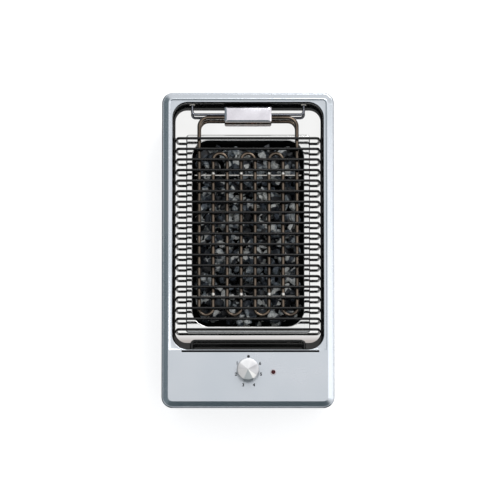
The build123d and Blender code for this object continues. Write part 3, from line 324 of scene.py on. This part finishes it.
# Steatite, pressed and fired: chalky white with a slight sheen
steatite = makeMaterial("firedSteatite", {
    "colours": [(0.3, "#DDD8CB"), (0.7, "#EFEBE0")],
    "grainMm": 0.7, "cloudMm": 9, "rough": (0.5, 0.65), "bumpMm": 0.03,
})

# Stamped brass: warm yellow with soft stamping marks
stampedBrass = makeMaterial("stampedBrass", {
    "colours": [(0.3, "#B08D45"), (0.7, "#D0AE62")],
    "grainMm": 0.6, "cloudMm": 7, "rough": (0.22, 0.38), "bumpMm": 0.01,
    "shader": {"Metallic": 1.0},
})

# Spun and diamond-turned aluminium: fine rings, with pale and grey wedges of sheen painted into its colour
# round the centre
def makeSpunMetal():
    material = bpy.data.materials.new("spunAluminium")
    material.use_nodes = True
    tree = material.node_tree
    shader = tree.nodes["Principled BSDF"]
    shader.inputs["Metallic"].default_value = 1.0
    shader.inputs["Anisotropic"].default_value = 0.6
    place = addNode(tree, "TexCoord")
    centred = addNode(tree, "Mapping", {"Vector": place.outputs["Object"], "Location": (0, 200 * mm, 0)})
    turned = addNode(tree, "TexGradient", {"Vector": centred.outputs["Vector"]}, gradient_type="RADIAL")
    # painted highlight: the colour steps between pale and grey wedges by the angle round the knob
    paintedSheenWedges = addNode(tree, "ValToRGB", {"Fac": turned.outputs["Fac"]}, stops=[
        (0.0, hexColour("#C9C9CA")), (0.17, hexColour("#D0D0D0")), (0.2, hexColour("#A9AFB1")),
        (0.32, hexColour("#AFB4B6")), (0.34, hexColour("#F4F4F2")), (0.39, hexColour("#EAEAE9")),
        (0.41, hexColour("#C6C6C9")), (0.57, hexColour("#BDBDC0")), (0.6, hexColour("#E2E2E5")),
        (0.7, hexColour("#F4F4F6")), (0.88, hexColour("#DCDCDE")), (0.91, hexColour("#BEBEC0")),
    ])
    tree.links.new(paintedSheenWedges.outputs["Color"], shader.inputs["Base Color"])
    fromAxis = addNode(tree, "VectorMath", {0: centred.outputs["Vector"], 1: (1, 1, 0)}, operation="MULTIPLY")
    reach = addNode(tree, "VectorMath", {0: fromAxis.outputs["Vector"]}, operation="LENGTH")
    rings = addNode(tree, "TexNoise", {"W": reach.outputs["Value"], "Scale": 1000 / 0.25, "Detail": 2.0},
                    noise_dimensions="1D")
    rough = addNode(tree, "MapRange", {"Value": rings.outputs["Fac"], "To Min": 0.34, "To Max": 0.44})
    tree.links.new(rough.outputs["Result"], shader.inputs["Roughness"])
    bump = addNode(tree, "Bump", {"Height": rings.outputs["Fac"], "Distance": 0.01 * mm, "Strength": 0.3})
    tree.links.new(bump.outputs["Normal"], shader.inputs["Normal"])
    return material


spunAluminium = makeSpunMetal()

# Glass-filled moulding of the regulator and core: dark grey, slightly rough
darkMoulding = makeMaterial("glassFilledMoulding", {
    "colours": [(0.3, "#161719"), (0.7, "#222326")],
    "grainMm": 0.4, "cloudMm": 8, "rough": (0.42, 0.55), "bumpMm": 0.01,
})

# Silicone and foam rubber: black and matt
blackRubber = makeMaterial("closedCellRubber", {
    "colours": [(0.3, "#0E0E0F"), (0.7, "#1A1A1B")],
    "grainMm": 0.5, "cloudMm": 10, "rough": (0.65, 0.8), "bumpMm": 0.03,
})

# Clear red moulding of the lamp, dark while it is off
redLens = makeMaterial("redLampLens", {
    "colours": [(0.3, "#2E0309"), (0.7, "#4C0812")],
    "grainMm": 1.0, "cloudMm": 3, "rough": (0.1, 0.18), "bumpMm": 0.01,
    "shader": {"Specular IOR Level": 0.3},
})

# Pale glossy moulding round the lamp
paleBezel = makeMaterial("paleLampBezel", {
    "colours": [(0.3, "#C9BFC2"), (0.7, "#DDD5D6")],
    "grainMm": 0.5, "cloudMm": 4, "rough": (0.18, 0.28), "bumpMm": 0.005,
})

# Braided glass sleeve over the hot leads: off-white and matt
glassSleeve = makeMaterial("braidedGlassSleeve", {
    "colours": [(0.3, "#A79C85"), (0.7, "#CFC6B2")],
    "grainMm": 0.8, "cloudMm": 6, "rough": (0.6, 0.75), "bumpMm": 0.08,
})

# Moulded wire insulation, brown and green-yellow
brownSleeve = makeMaterial("brownWireSleeve", {
    "colours": [(0.3, "#4A2F1F"), (0.7, "#5B3B27")],
    "grainMm": 0.6, "cloudMm": 8, "rough": (0.35, 0.45), "bumpMm": 0.005,
})
greenSleeve = makeMaterial("greenWireSleeve", {
    "colours": [(0.45, "#3E7A2C"), (0.55, "#C9C23A")],
    "grainMm": 0.6, "cloudMm": 9, "rough": (0.35, 0.45), "bumpMm": 0.005,
})

# Silk-screened black ink on the plate
dialInk = makeMaterial("silkScreenedInk", {
    "colours": [(0.3, "#15181B"), (0.7, "#1E2226")],
    "grainMm": 0.3, "cloudMm": 4, "rough": (0.45, 0.6), "bumpMm": 0.0,
})

nodeMaterials = {
    "rim_seal": blackRubber, "basin": smokedEnamel, "well_pan": smokedEnamel, "reflector": mirrorSteel,
    "lava_tray": traySteel, "grill_grate": blackEnamel, "heating_element": heaterSheath,
    "element_pins": zincSteel, "front_strip": brightStrip, "rear_strip": brightStrip,
    "element_clips": brightStrip, "terminal_box_body": brownedSteel, "terminal_box_lid": boxSteel,
    "terminal_ceramic": steatite, "terminal_links": stampedBrass, "box_screws": zincSteel,
    "hinge_tubes": tubeSteel, "hinge_glands": steatite, "front_rest_rod": blackEnamel,
    "housing_front_panel": galvanised, "housing_rear_panel": galvanised, "housing_left_panel": galvanised,
    "housing_right_panel": galvanised, "bottom_cover": galvanised, "cover_screws": zincSteel,
    "stud_nuts": zincSteel, "heat_shield": galvanised, "shield_spacers": zincSteel,
    "heat_baffle": galvanised, "baffle_bushes": steatite, "regulator_case": darkMoulding,
    "regulator_cover": zincSteel, "regulator_blades": stampedBrass, "regulator_screws": zincSteel,
    "regulator_shaft": zincSteel, "shaft_seal": blackRubber, "knob_cap": spunAluminium,
    "knob_core": darkMoulding, "knob_clip": zincSteel, "lamp_body": darkMoulding, "lamp_bezel": paleBezel,
    "lamp_lens": redLens, "lamp_retainer": zincSteel, "mains_block": steatite,
    "mains_block_screws": stampedBrass, "cable_grommet": blackRubber, "earth_stud": stampedBrass,
    "earth_nut": stampedBrass, "element_leads": glassSleeve, "mains_wires": brownSleeve,
    "earth_wire": greenSleeve, "lamp_wires": glassSleeve, "clamp_screws": zincSteel,
    "clamp_nuts": zincSteel, "worktop_clamp_1": galvanised, "worktop_clamp_2": galvanised,
    "worktop_clamp_3": galvanised, "worktop_clamp_4": galvanised,
    "top_plate": satinSteel, "lava_rocks": lavaStone,
}
for name, material in nodeMaterials.items():
    nodes[name].data.materials.clear()
    nodes[name].data.materials.append(material)
print("materials on", len(nodeMaterials), "CAD nodes")


# Top plate: a pressed sheet, drawn from a rounded blank by insets, with a shallow rise round the opening

plate = {
    "width": 280 * mm, "depth": 520 * mm, "corner": 18 * mm, "lip": 0.55 * mm, "sheet": 0.85 * mm,
    # each step goes in and up: a rolled lip, the slope, then a soft shoulder
    "rim": [(0.15, 0.12), (0.3, 0.13), (4.8, 2.42), (4.6, 2.36), (0.35, 0.15), (0.45, 0.12), (0.6, 0.05)],
    "panelLine": -166.1 * mm,
    # areas in square metres, which tell the wide faces from the rim's narrow ones
    "landArea": 0.05, "panelArea": 0.01, "jointArea": 0.0003, "sliceArea": 0.0001,
    "step": [(0.6, 0.0), (0.25, -0.1), (1.2, -0.85), (0.25, -0.1)],
    "jointWidth": 3.2 * mm, "jointEnds": (-107.5 * mm, 115.5 * mm), "joint": [(0.15, -0.6)],
    "halfX": 123, "front": -164.5, "rear": 243.5, "openCorner": 25, "landHeight": 4.85,
    "roll": [(0.35, -0.05), (0.3, -0.16), (0.25, -0.3), (0.15, -0.4)],
    "cutterTop": 9, "cutterLow": -1, "studRadius": 2, "studLow": -3.2, "studTop": 4.3,
    "holes": [(0, -200, 3.2), (41, -202, 4.02)],
    "studs": [(121, 241.5), (-121, 241.5), (121, -233), (-121, -233), (45, -234.5), (-45, -234.5)],
}


def roundedBlank(name, halfX, front, rear, height, corner, steps=14):
    clearSelection()
    bpy.ops.mesh.primitive_plane_add(size=1 * mm, location=(0, (front + rear) / 2 * mm, height * mm))
    piece = namePiece(name)
    piece.scale = (2 * halfX, rear - front, 1)
    bpy.ops.object.transform_apply(location=True, rotation=True, scale=True)
    bpy.ops.object.mode_set(mode="EDIT")
    bpy.ops.mesh.select_all(action="SELECT")
    bpy.ops.mesh.bevel(offset=corner * mm, segments=steps, affect="VERTICES")
    bpy.ops.mesh.select_mode(type="FACE")
    return piece


def insetSteps(steps):
    for inward, upward in steps:
        bpy.ops.mesh.inset(thickness=inward * mm, depth=upward * mm, use_even_offset=True)


def selectFaces(piece, test):
    bpy.ops.mesh.select_mode(type="FACE")
    bpy.ops.mesh.select_all(action="DESELECT")
    shape = bmesh.from_edit_mesh(piece.data)
    for face in shape.faces:
        if test(face.calc_center_median(), face.calc_area()):
            face.select_set(True)
    bmesh.update_edit_mesh(piece.data)


def selectOpenEdges(piece, height):
    bpy.ops.mesh.select_mode(type="EDGE")
    bpy.ops.mesh.select_all(action="DESELECT")
    shape = bmesh.from_edit_mesh(piece.data)
    for edge in shape.edges:
        if len(edge.link_faces) < 2 and all(abs(v.co.z - height * mm) < tolerance for v in edge.verts):
            edge.select_set(True)


def extrudeUp(distance):
    bpy.ops.mesh.extrude_region_move(TRANSFORM_OT_translate={"value": (0, 0, distance * mm)})


def thickenSheet(piece, sheet):
    fixNormals(piece)
    thickness = piece.modifiers.new("sheet", "SOLIDIFY")
    thickness.thickness = sheet
    thickness.offset = -1
    applyAll(piece)


def closeSolid(piece):
    bpy.ops.mesh.select_all(action="SELECT")
    bpy.ops.mesh.fill_holes(sides=0)
    bpy.ops.mesh.select_all(action="SELECT")
    bpy.ops.mesh.normals_make_consistent(inside=False)
    bpy.ops.object.mode_set(mode="OBJECT")


def addCylinder(name, x, y, low, top, radius, vertices=40):
    clearSelection()
    bpy.ops.mesh.primitive_cylinder_add(vertices=vertices, radius=radius * mm, depth=(top - low) * mm,
                                        location=(x * mm, y * mm, (low + top) / 2 * mm))
    return namePiece(name)


def cutWith(piece, cutter):
    cut = piece.modifiers.new("cut", "BOOLEAN")
    cut.operation = "DIFFERENCE"
    cut.object = cutter
    applyAll(piece)
    bpy.data.objects.remove(cutter)


def buildPlate():
    end = plate["depth"] / 2 / mm
    piece = roundedBlank("hobPlate", plate["width"] / 2 / mm, -end, end, 0, plate["corner"] / mm)
    extrudeUp(plate["lip"] / mm)
    insetSteps(plate["rim"])
    # the flat top is parted along the panel's rear line, and the land behind it is pressed down
    bpy.ops.mesh.bisect(plane_co=(0, plate["panelLine"], 0), plane_no=(0, 1, 0))
    selectFaces(piece, lambda at, area: area > plate["landArea"] and at.y > plate["panelLine"])
    insetSteps(plate["step"])
    # a narrow joint along the panel's rear edge
    jointFront = plate["panelLine"] - plate["jointWidth"]
    selectFaces(piece, lambda at, area: area > plate["panelArea"] and at.y < plate["panelLine"])
    bpy.ops.mesh.bisect(plane_co=(0, jointFront, 0), plane_no=(0, 1, 0))
    for x in plate["jointEnds"]:
        selectFaces(piece, lambda at, area: area > plate["sliceArea"]
                    and jointFront < at.y < plate["panelLine"])
        bpy.ops.mesh.bisect(plane_co=(x, 0, 0), plane_no=(1, 0, 0))
    selectFaces(piece, lambda at, area: area > plate["jointArea"] and jointFront < at.y < plate["panelLine"])
    insetSteps(plate["joint"])
    # painted shade: the joint's floor takes the black second material
    piece.data.materials.append(satinSteel)
    piece.data.materials.append(paintedJointShade)
    bpy.context.object.active_material_index = 1
    bpy.ops.object.material_slot_assign()
    bpy.ops.object.mode_set(mode="OBJECT")
    thickenSheet(piece, plate["sheet"])

    # the cutter widens at the top, which leaves the opening's edge rolled
    flare = sum(step[0] for step in plate["roll"])
    cutter = roundedBlank("openingCutter", plate["halfX"] + flare, plate["front"] - flare,
                          plate["rear"] + flare, plate["cutterTop"], plate["openCorner"] + flare)
    extrudeUp(plate["landHeight"] - plate["cutterTop"])
    insetSteps(plate["roll"])
    extrudeUp(-plate["cutterTop"])
    closeSolid(cutter)
    cutWith(piece, cutter)
    for x, y, radius in plate["holes"]:
        cutWith(piece, addCylinder("holeCutter", x, y, plate["cutterLow"], plate["cutterTop"], radius))
    studs = [addCylinder("plateStud", x, y, plate["studLow"], plate["studTop"], plate["studRadius"], 24)
             for x, y in plate["studs"]]
    return joinPieces([piece] + studs, "hobPlate")


hobPlate = buildPlate()
smoothPiece(hobPlate, 40)
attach(hobPlate, "housing")
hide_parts("top_plate")
print("top plate", len(hobPlate.data.polygons), "faces")


# Basin: an enamelled pressing with a shallow bead under the edge and a soft foot

basinForm = {
    "apronX": 128, "apronY": 248, "apronCorner": 8, "apronTop": 3.95, "sheet": 0.9 * mm, "mouthGap": 0.3,
    # each step goes in and down: a bead under the edge, the straight wall and the foot
    "wall": [(0.05, -1.65), (0.25, -0.35), (0.55, -0.3), (0.35, -0.35), (0.1, -0.5), (0.05, -1.2),
             (0.0, -19.35), (0.1, -2.2), (0.3, -1.6), (0.65, -1.4), (1.0, -0.9), (1.35, -0.45)],
    "well": (95, -126.8, 188.8, 30),
}


def buildBasin():
    form = basinForm
    apron = roundedBlank("enamelBasin", form["apronX"], -form["apronY"], form["apronY"], form["apronTop"],
                         form["apronCorner"])
    bpy.ops.mesh.select_all(action="SELECT")
    bpy.ops.mesh.delete(type="ONLY_FACE")
    bpy.ops.object.mode_set(mode="OBJECT")
    gap = form["mouthGap"]
    mouth = roundedBlank("basinMouth", plate["halfX"] + gap, plate["front"] - gap, plate["rear"] + gap,
                         form["apronTop"], plate["openCorner"] + gap)
    insetSteps(form["wall"])
    bpy.ops.mesh.delete(type="ONLY_FACE")
    bpy.ops.object.mode_set(mode="OBJECT")
    halfX, front, rear, corner = form["well"]
    foot = form["apronTop"] + sum(step[1] for step in form["wall"])
    well = roundedBlank("wellEdge", halfX, front, rear, foot, corner)
    bpy.ops.mesh.delete(type="ONLY_FACE")
    bpy.ops.object.mode_set(mode="OBJECT")
    whole = joinPieces([apron, mouth, well], "enamelBasin")
    bpy.ops.object.mode_set(mode="EDIT")
    for height in (form["apronTop"], foot):
        selectOpenEdges(whole, height)
        bpy.ops.mesh.fill(use_beauty=True)
    bpy.ops.object.mode_set(mode="OBJECT")
    thickenSheet(whole, form["sheet"])
    return whole


enamelBasin = buildBasin()
smoothPiece(enamelBasin, 50)
dress(enamelBasin, smokedEnamel, "housing", ["basin"])
print("basin", len(enamelBasin.data.polygons), "faces")


# Lava tray: a polished flange on a turned-down edge, rolled into a pan whose inside is painted black as shade
# under the rocks

trayForm = {
    "halfX": 101, "front": -132.8, "rear": 194.8, "corner": 5, "low": -26, "sheet": 0.8 * mm,
    "edge": [(0.1, 2.6), (0.35, 1.3), (0.75, 0.75), (1.3, 0.3), (0.6, 0.0)],
    "panX": 90.6, "panFront": -122.4, "panRear": 184.4, "panCorner": 28,
    "roll": [(0.6, 0.0), (0.7, -0.12), (0.55, -0.4), (0.35, -0.8)],
    "wall": [(0.1, -3.0), (0.8, -37.0), (1.2, -2.0), (3.0, -1.6)],
}


def buildTray():
    form = trayForm
    edge = roundedBlank("lavaPan", form["halfX"], form["front"], form["rear"], form["low"], form["corner"])
    insetSteps(form["edge"])
    bpy.ops.mesh.delete(type="ONLY_FACE")
    bpy.ops.object.mode_set(mode="OBJECT")
    flange = form["low"] + sum(step[1] for step in form["edge"])
    roll = sum(step[0] for step in form["roll"])
    pan = roundedBlank("panHollow", form["panX"] + roll, form["panFront"] - roll, form["panRear"] + roll,
                       flange, form["panCorner"] + roll)
    insetSteps(form["roll"])
    bpy.ops.object.mode_set(mode="OBJECT")
    pan.data.materials.append(traySteel)
    pan.data.materials.append(paintedShadeTraySteel)
    edge.data.materials.append(traySteel)
    bpy.ops.object.mode_set(mode="EDIT")
    insetSteps(form["wall"])
    depth = flange + sum(step[1] for step in form["roll"])
    # painted shade: the faces low in the pan take the black inside material
    selectFaces(pan, lambda at, area: at.z < (depth + 0.1) * mm)
    bpy.context.object.active_material_index = 1
    bpy.ops.object.material_slot_assign()
    bpy.ops.object.mode_set(mode="OBJECT")
    whole = joinPieces([edge, pan], "lavaPan")
    bpy.ops.object.mode_set(mode="EDIT")
    selectOpenEdges(whole, flange)
    bpy.ops.mesh.bridge_edge_loops()
    bpy.ops.object.mode_set(mode="OBJECT")
    thickenSheet(whole, form["sheet"])
    return whole


lavaPan = buildTray()
smoothPiece(lavaPan, 50)
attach(lavaPan, "housing")
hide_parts("lava_tray")
print("lava tray", len(lavaPan.data.polygons), "faces")


# Terminal box lid: a pressed cap with a sloping border

lidForm = {
    "halfX": 38.25, "front": 213.0, "rear": 239.0, "corner": 3.0, "low": -6.3, "sheet": 0.7 * mm,
    # each step goes up, then in at the sides, in at front and rear together, and forward
    "steps": [(0.8, 0.05, 0.05, 0.0), (0.25, 0.35, 0.35, 0.0), (1.35, 3.2, 2.7, -0.9), (0.1, 0.5, 0.5, 0.0)],
}


def buildLid():
    lid = roundedBlank("boxLid", lidForm["halfX"], lidForm["front"], lidForm["rear"], lidForm["low"],
                       lidForm["corner"], 8)
    halfX = lidForm["halfX"]
    halfY = (lidForm["rear"] - lidForm["front"]) / 2
    middle = (lidForm["rear"] + lidForm["front"]) / 2
    for upward, inX, inY, shift in lidForm["steps"]:
        extrudeUp(upward)
        bpy.ops.transform.resize(value=((halfX - inX) / halfX, (halfY - inY) / halfY, 1),
                                 center_override=(0, middle * mm, 0))
        bpy.ops.transform.translate(value=(0, shift * mm, 0))
        halfX -= inX
        halfY -= inY
        middle += shift
    bpy.ops.object.mode_set(mode="OBJECT")
    thickenSheet(lid, lidForm["sheet"])
    return lid


boxLid = buildLid()
smoothPiece(boxLid, 25)
dress(boxLid, boxSteel, "heater", ["terminal_box_lid"])
print("box lid", len(boxLid.data.polygons), "faces")


# Knob: a spun cap with a rounded rim, a faintly domed face and a cut pointer

knobForm = {
    "y": -200, "radius": 18.5, "low": 7.0, "sheet": 0.8 * mm,
    "steps": [(0.55, 18.2), (0.1, 0.4), (0.2, 0.35), (0.35, 0.25), (0.6, 0.12)] + [(5.2, 0.2)] * 3,
    "pointer": {"half": 0.55, "length": 7.0, "outer": -182.9, "top": 27, "deep": 1.2},
}


def buildKnob():
    clearSelection()
    bpy.ops.mesh.primitive_circle_add(vertices=96, radius=knobForm["radius"] * mm, fill_type="NGON",
                                      location=(0, knobForm["y"] * mm, knobForm["low"] * mm))
    knob = namePiece("knobCap")
    bpy.ops.object.transform_apply(location=True, rotation=True, scale=True)
    bpy.ops.object.mode_set(mode="EDIT")
    bpy.ops.mesh.select_mode(type="FACE")
    bpy.ops.mesh.select_all(action="SELECT")
    insetSteps(knobForm["steps"])
    bpy.ops.object.mode_set(mode="OBJECT")
    thickenSheet(knob, knobForm["sheet"])
    cut = knobForm["pointer"]
    middle = cut["outer"] - cut["length"] / 2
    clearSelection()
    bpy.ops.mesh.primitive_cube_add(size=1, location=(0, middle * mm, cut["top"] * mm))
    groove = namePiece("pointerCutter")
    groove.scale = (2 * cut["half"] * mm, cut["length"] * mm, cut["deep"] * mm)
    cutWith(knob, groove)
    return knob


knobCap = buildKnob()
smoothPiece(knobCap, 30)
dress(knobCap, spunAluminium, "knob", ["knob_cap"])
print("knob", len(knobCap.data.polygons), "faces")


# Lava rocks: a few stones, each split by random planes, then copied and piled in the tray

rocks = {
    "seed": 21, "shapes": 12, "cuts": 17, "planes": (0.45, 0.8), "flatAngle": 16, "worn": 0.015,
    # a layer's height and how far its rows are shifted; a cell is one stone's share of the floor
    "layers": [(-56.0, 0.0), (-43.0, 0.5), (-31.0, 0.25)], "cell": 16.0, "rowShare": 0.9, "firstRow": 0.35,
    "sizes": (7.6, 12.0), "stretch": (0.8, 1.2), "jitter": 3.5, "lift": (-4, 5), "wallShare": 0.9,
    "halfX": 89.0, "front": -121.0, "rear": 183.0, "corner": 28.0, "top": -18.7, "topShare": 1.05,
}
dice = random.Random(rocks["seed"])


def buildStone(number):
    clearSelection()
    bpy.ops.mesh.primitive_ico_sphere_add(subdivisions=2, radius=1.0)
    stone = namePiece("stone" + str(number))
    bpy.ops.object.mode_set(mode="EDIT")
    for i in range(rocks["cuts"]):
        bpy.ops.mesh.select_all(action="SELECT")
        normal = Vector((dice.gauss(0, 1), dice.gauss(0, 1), dice.gauss(0, 1))).normalized()
        bpy.ops.mesh.bisect(plane_co=normal * dice.uniform(*rocks["planes"]), plane_no=normal,
                            use_fill=True, clear_outer=True)
    bpy.ops.mesh.select_all(action="SELECT")
    bpy.ops.mesh.dissolve_limited(angle_limit=math.radians(rocks["flatAngle"]))
    bpy.ops.mesh.bevel(offset=rocks["worn"], segments=1)
    bpy.ops.object.mode_set(mode="OBJECT")
    return stone


def insideTray(x, y, margin):
    dx = max(0.0, abs(x) - (rocks["halfX"] - rocks["corner"]))
    middle = (rocks["front"] + rocks["rear"]) / 2
    halfY = (rocks["rear"] - rocks["front"]) / 2
    dy = max(0.0, abs(y - middle) - (halfY - rocks["corner"]))
    return math.hypot(dx, dy) <= rocks["corner"] - margin


def layStone(stones, x, y, height):
    size = dice.uniform(*rocks["sizes"])
    x += dice.uniform(-rocks["jitter"], rocks["jitter"])
    y += dice.uniform(-rocks["jitter"], rocks["jitter"])
    if not insideTray(x, y, size * rocks["wallShare"]):
        return []
    stone = stones[dice.randrange(len(stones))].copy()
    stone.data = stone.data.copy()
    bpy.context.collection.objects.link(stone)
    stone.rotation_euler = [dice.uniform(0, 6.28) for i in range(3)]
    stone.scale = [size * mm * dice.uniform(*rocks["stretch"]) for i in range(3)]
    z = min(height + dice.uniform(*rocks["lift"]), rocks["top"] - size * rocks["topShare"])
    stone.location = (x * mm, y * mm, z * mm)
    return [stone]


stones = [buildStone(i) for i in range(rocks["shapes"])]
pile = []
for height, shift in rocks["layers"]:
    y = rocks["front"] + rocks["cell"] * (rocks["firstRow"] + shift / 2)
    row = 0
    while y < rocks["rear"]:
        x = -rocks["halfX"] + rocks["cell"] * (0.5 + (row % 2) * 0.5)
        while x < rocks["halfX"]:
            pile += layStone(stones, x, y, height)
            x += rocks["cell"]
        y += rocks["cell"] * rocks["rowShare"]
        row += 1
for stone in stones:
    bpy.data.objects.remove(stone)
lavaPile = joinPieces(pile, "lavaPile")
applyAll(lavaPile)
dress(lavaPile, lavaStone, "housing", ["lava_rocks"])
print("lava rocks", len(pile), "stones,", len(lavaPile.data.polygons), "faces")


# Dial: a dot and six numbers printed round the knob

dial = {
    "y": -200, "z": 5.99, "size": 6.9, "dot": 2.3, "ink": 0.02, "weight": 0.3,
    "places": [("", 0.8, 23.8), ("1", -17.6, 12.6), ("2", -19.5, -5.5), ("3", -7.6, -23.1), ("4", 9.7, -23.1),
               ("5", 21.1, -5.5), ("6", 19.6, 12.1)],
}


def printedMark(text, x, y):
    clearSelection()
    if text:
        bpy.ops.object.text_add(location=(x * mm, y * mm, dial["z"] * mm))
        curve = bpy.context.object.data
        curve.body = text
        curve.size = dial["size"] * mm
        curve.align_x = "CENTER"
        curve.align_y = "CENTER"
        curve.extrude = dial["ink"] * mm
        curve.offset = dial["weight"] * mm
        bpy.ops.object.convert(target="MESH")
    else:
        bpy.ops.mesh.primitive_cylinder_add(vertices=32, radius=dial["dot"] * mm, depth=2 * dial["ink"] * mm,
                                            location=(x * mm, y * mm, dial["z"] * mm))
    mark = namePiece("dialMark")
    applyAll(mark)
    return mark


marks = [printedMark(text, x, dial["y"] + y) for text, x, y in dial["places"]]
dialMarks = joinPieces(marks, "dialMarks")
dress(dialMarks, dialInk, "housing")
print("dial marks", len(marks))


# Stage: floor, soft light and dark cards that only the metal sees

sideways = (0, math.radians(90), 0)
upright = (math.radians(90), 0, 0)
stage = {
    "floorSize": 8.0, "floorGap": 0.4 * mm, "floorColour": "#C8C8C8", "floorGlow": 0.68,
    "ambient": ("#F4F6FA", 0.75), "backdrop": ("#FFFFFF", 1.0),
    # the name, place, turn, size and colour of each card
    "cards": [
        ("darkCardLeft", (-1.5, 0, 1.35), sideways, (2.2, 5.0), "#849094"),
        ("darkCardFront", (0, -1.8, 2.4), upright, (5.0, 2.4), "#5D6A6E"),
        ("blackCardFront", (0, -1.75, 0.62), upright, (4.0, 1.1), "#0C0D0F"),
        ("blackCardLeft", (-1.45, 0, 0.38), sideways, (0.66, 4.0), "#0C0D0F"),
        ("greyCardRight", (1.9, 0, 0.45), sideways, (0.8, 4.0), "#6A7076"),
    ],
    # the name, place, size and power of each lamp; both look at the middle of the hob
    "lamps": [
        ("softKey", (0.6, 1.5, 2.0), (0.8, 0.8), 16),
        ("softFill", (1.75, 0.1, 1.25), (1.0, 1.0), 3),
    ],
}


def seenRays(tree):
    path = addNode(tree, "LightPath")
    seen = addNode(tree, "Math", {0: path.outputs["Is Camera Ray"], 1: path.outputs["Is Glossy Ray"]},
                   operation="MAXIMUM")
    return addNode(tree, "Math", {0: seen.outputs[0], 1: path.outputs["Is Transmission Ray"]},
                   operation="MAXIMUM")


def buildFloor():
    clearSelection()
    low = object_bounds()[0][2] - stage["floorGap"]
    bpy.ops.mesh.primitive_plane_add(size=stage["floorSize"], location=(0, 0, low))
    floor = namePiece("studioFloor")
    applyAll(floor)
    material = bpy.data.materials.new("paleStudioFloor")
    material.use_nodes = True
    tree = material.node_tree
    tree.nodes.remove(tree.nodes["Principled BSDF"])
    matt = addNode(tree, "BsdfDiffuse", {"Color": hexColour(stage["floorColour"])})
    lit = addNode(tree, "Emission", {"Color": hexColour("#FFFFFF"), "Strength": stage["floorGlow"]})
    both = addNode(tree, "AddShader", {0: matt.outputs[0], 1: lit.outputs[0]})
    seen = seenRays(tree)
    choice = addNode(tree, "MixShader", {0: seen.outputs[0], 1: matt.outputs[0], 2: both.outputs[0]})
    tree.links.new(choice.outputs[0], tree.nodes["Material Output"].inputs["Surface"])
    floor.data.materials.append(material)


def buildCard(name, location, turn, size, colour):
    clearSelection()
    bpy.ops.mesh.primitive_plane_add(size=1, location=location, rotation=turn)
    card = namePiece(name)
    card.scale = (size[0], size[1], 1)
    applyAll(card)
    material = bpy.data.materials.new(name)
    material.use_nodes = True
    tree = material.node_tree
    tree.nodes.remove(tree.nodes["Principled BSDF"])
    lit = addNode(tree, "Emission", {"Color": hexColour(colour), "Strength": 1.0})
    tree.links.new(lit.outputs[0], tree.nodes["Material Output"].inputs["Surface"])
    card.data.materials.append(material)
    card.visible_camera = False
    card.visible_diffuse = False
    card.visible_shadow = False
    card.visible_transmission = False


def buildWorld():
    world = bpy.data.worlds.new("whiteStudio")
    bpy.context.scene.world = world
    world.use_nodes = True
    tree = world.node_tree
    tree.nodes.remove(tree.nodes["Background"])
    ambient, backdrop = [addNode(tree, "Background", {"Color": hexColour(colour), "Strength": level})
                         for colour, level in (stage["ambient"], stage["backdrop"])]
    seen = seenRays(tree)
    choice = addNode(tree, "MixShader", {0: seen.outputs[0], 1: ambient.outputs[0], 2: backdrop.outputs[0]})
    tree.links.new(choice.outputs[0], tree.nodes["World Output"].inputs["Surface"])


def addLamp(name, location, size, power):
    clearSelection()
    bpy.ops.object.light_add(type="AREA", location=location)
    lamp = bpy.context.object
    lamp.name = name
    lamp.data.shape = "RECTANGLE"
    lamp.data.size, lamp.data.size_y = size
    lamp.data.energy = power
    lamp.rotation_euler = (-Vector(location)).to_track_quat("-Z", "Y").to_euler()


buildFloor()
buildWorld()
for card in stage["cards"]:
    buildCard(*card)
for lamp in stage["lamps"]:
    addLamp(*lamp)
print("stage ready")


# Camera: a long lens well above the front edge, as the photo was taken

camera = {
    "elevation": 80.0, "distance": 10.0, "viewWidth": 0.812, "aim": (3.25 * mm, -0.4 * mm, 0.0),
    "sensor": 36, "farthest": 100,
}


def buildCamera():
    data = bpy.data.cameras.new("photoCamera")
    lens = bpy.data.objects.new("photoCamera", data)
    bpy.context.collection.objects.link(lens)
    tilt = math.radians(camera["elevation"])
    aim = Vector(camera["aim"])
    lens.location = aim + Vector((0, -math.cos(tilt), math.sin(tilt))) * camera["distance"]
    lens.rotation_euler = (math.radians(90) - tilt, 0, 0)
    data.sensor_width = camera["sensor"]
    data.lens = data.sensor_width * camera["distance"] / camera["viewWidth"]
    data.clip_end = camera["farthest"]
    bpy.context.scene.camera = lens


buildCamera()
scene = bpy.context.scene
scene.view_settings.view_transform = "Standard"
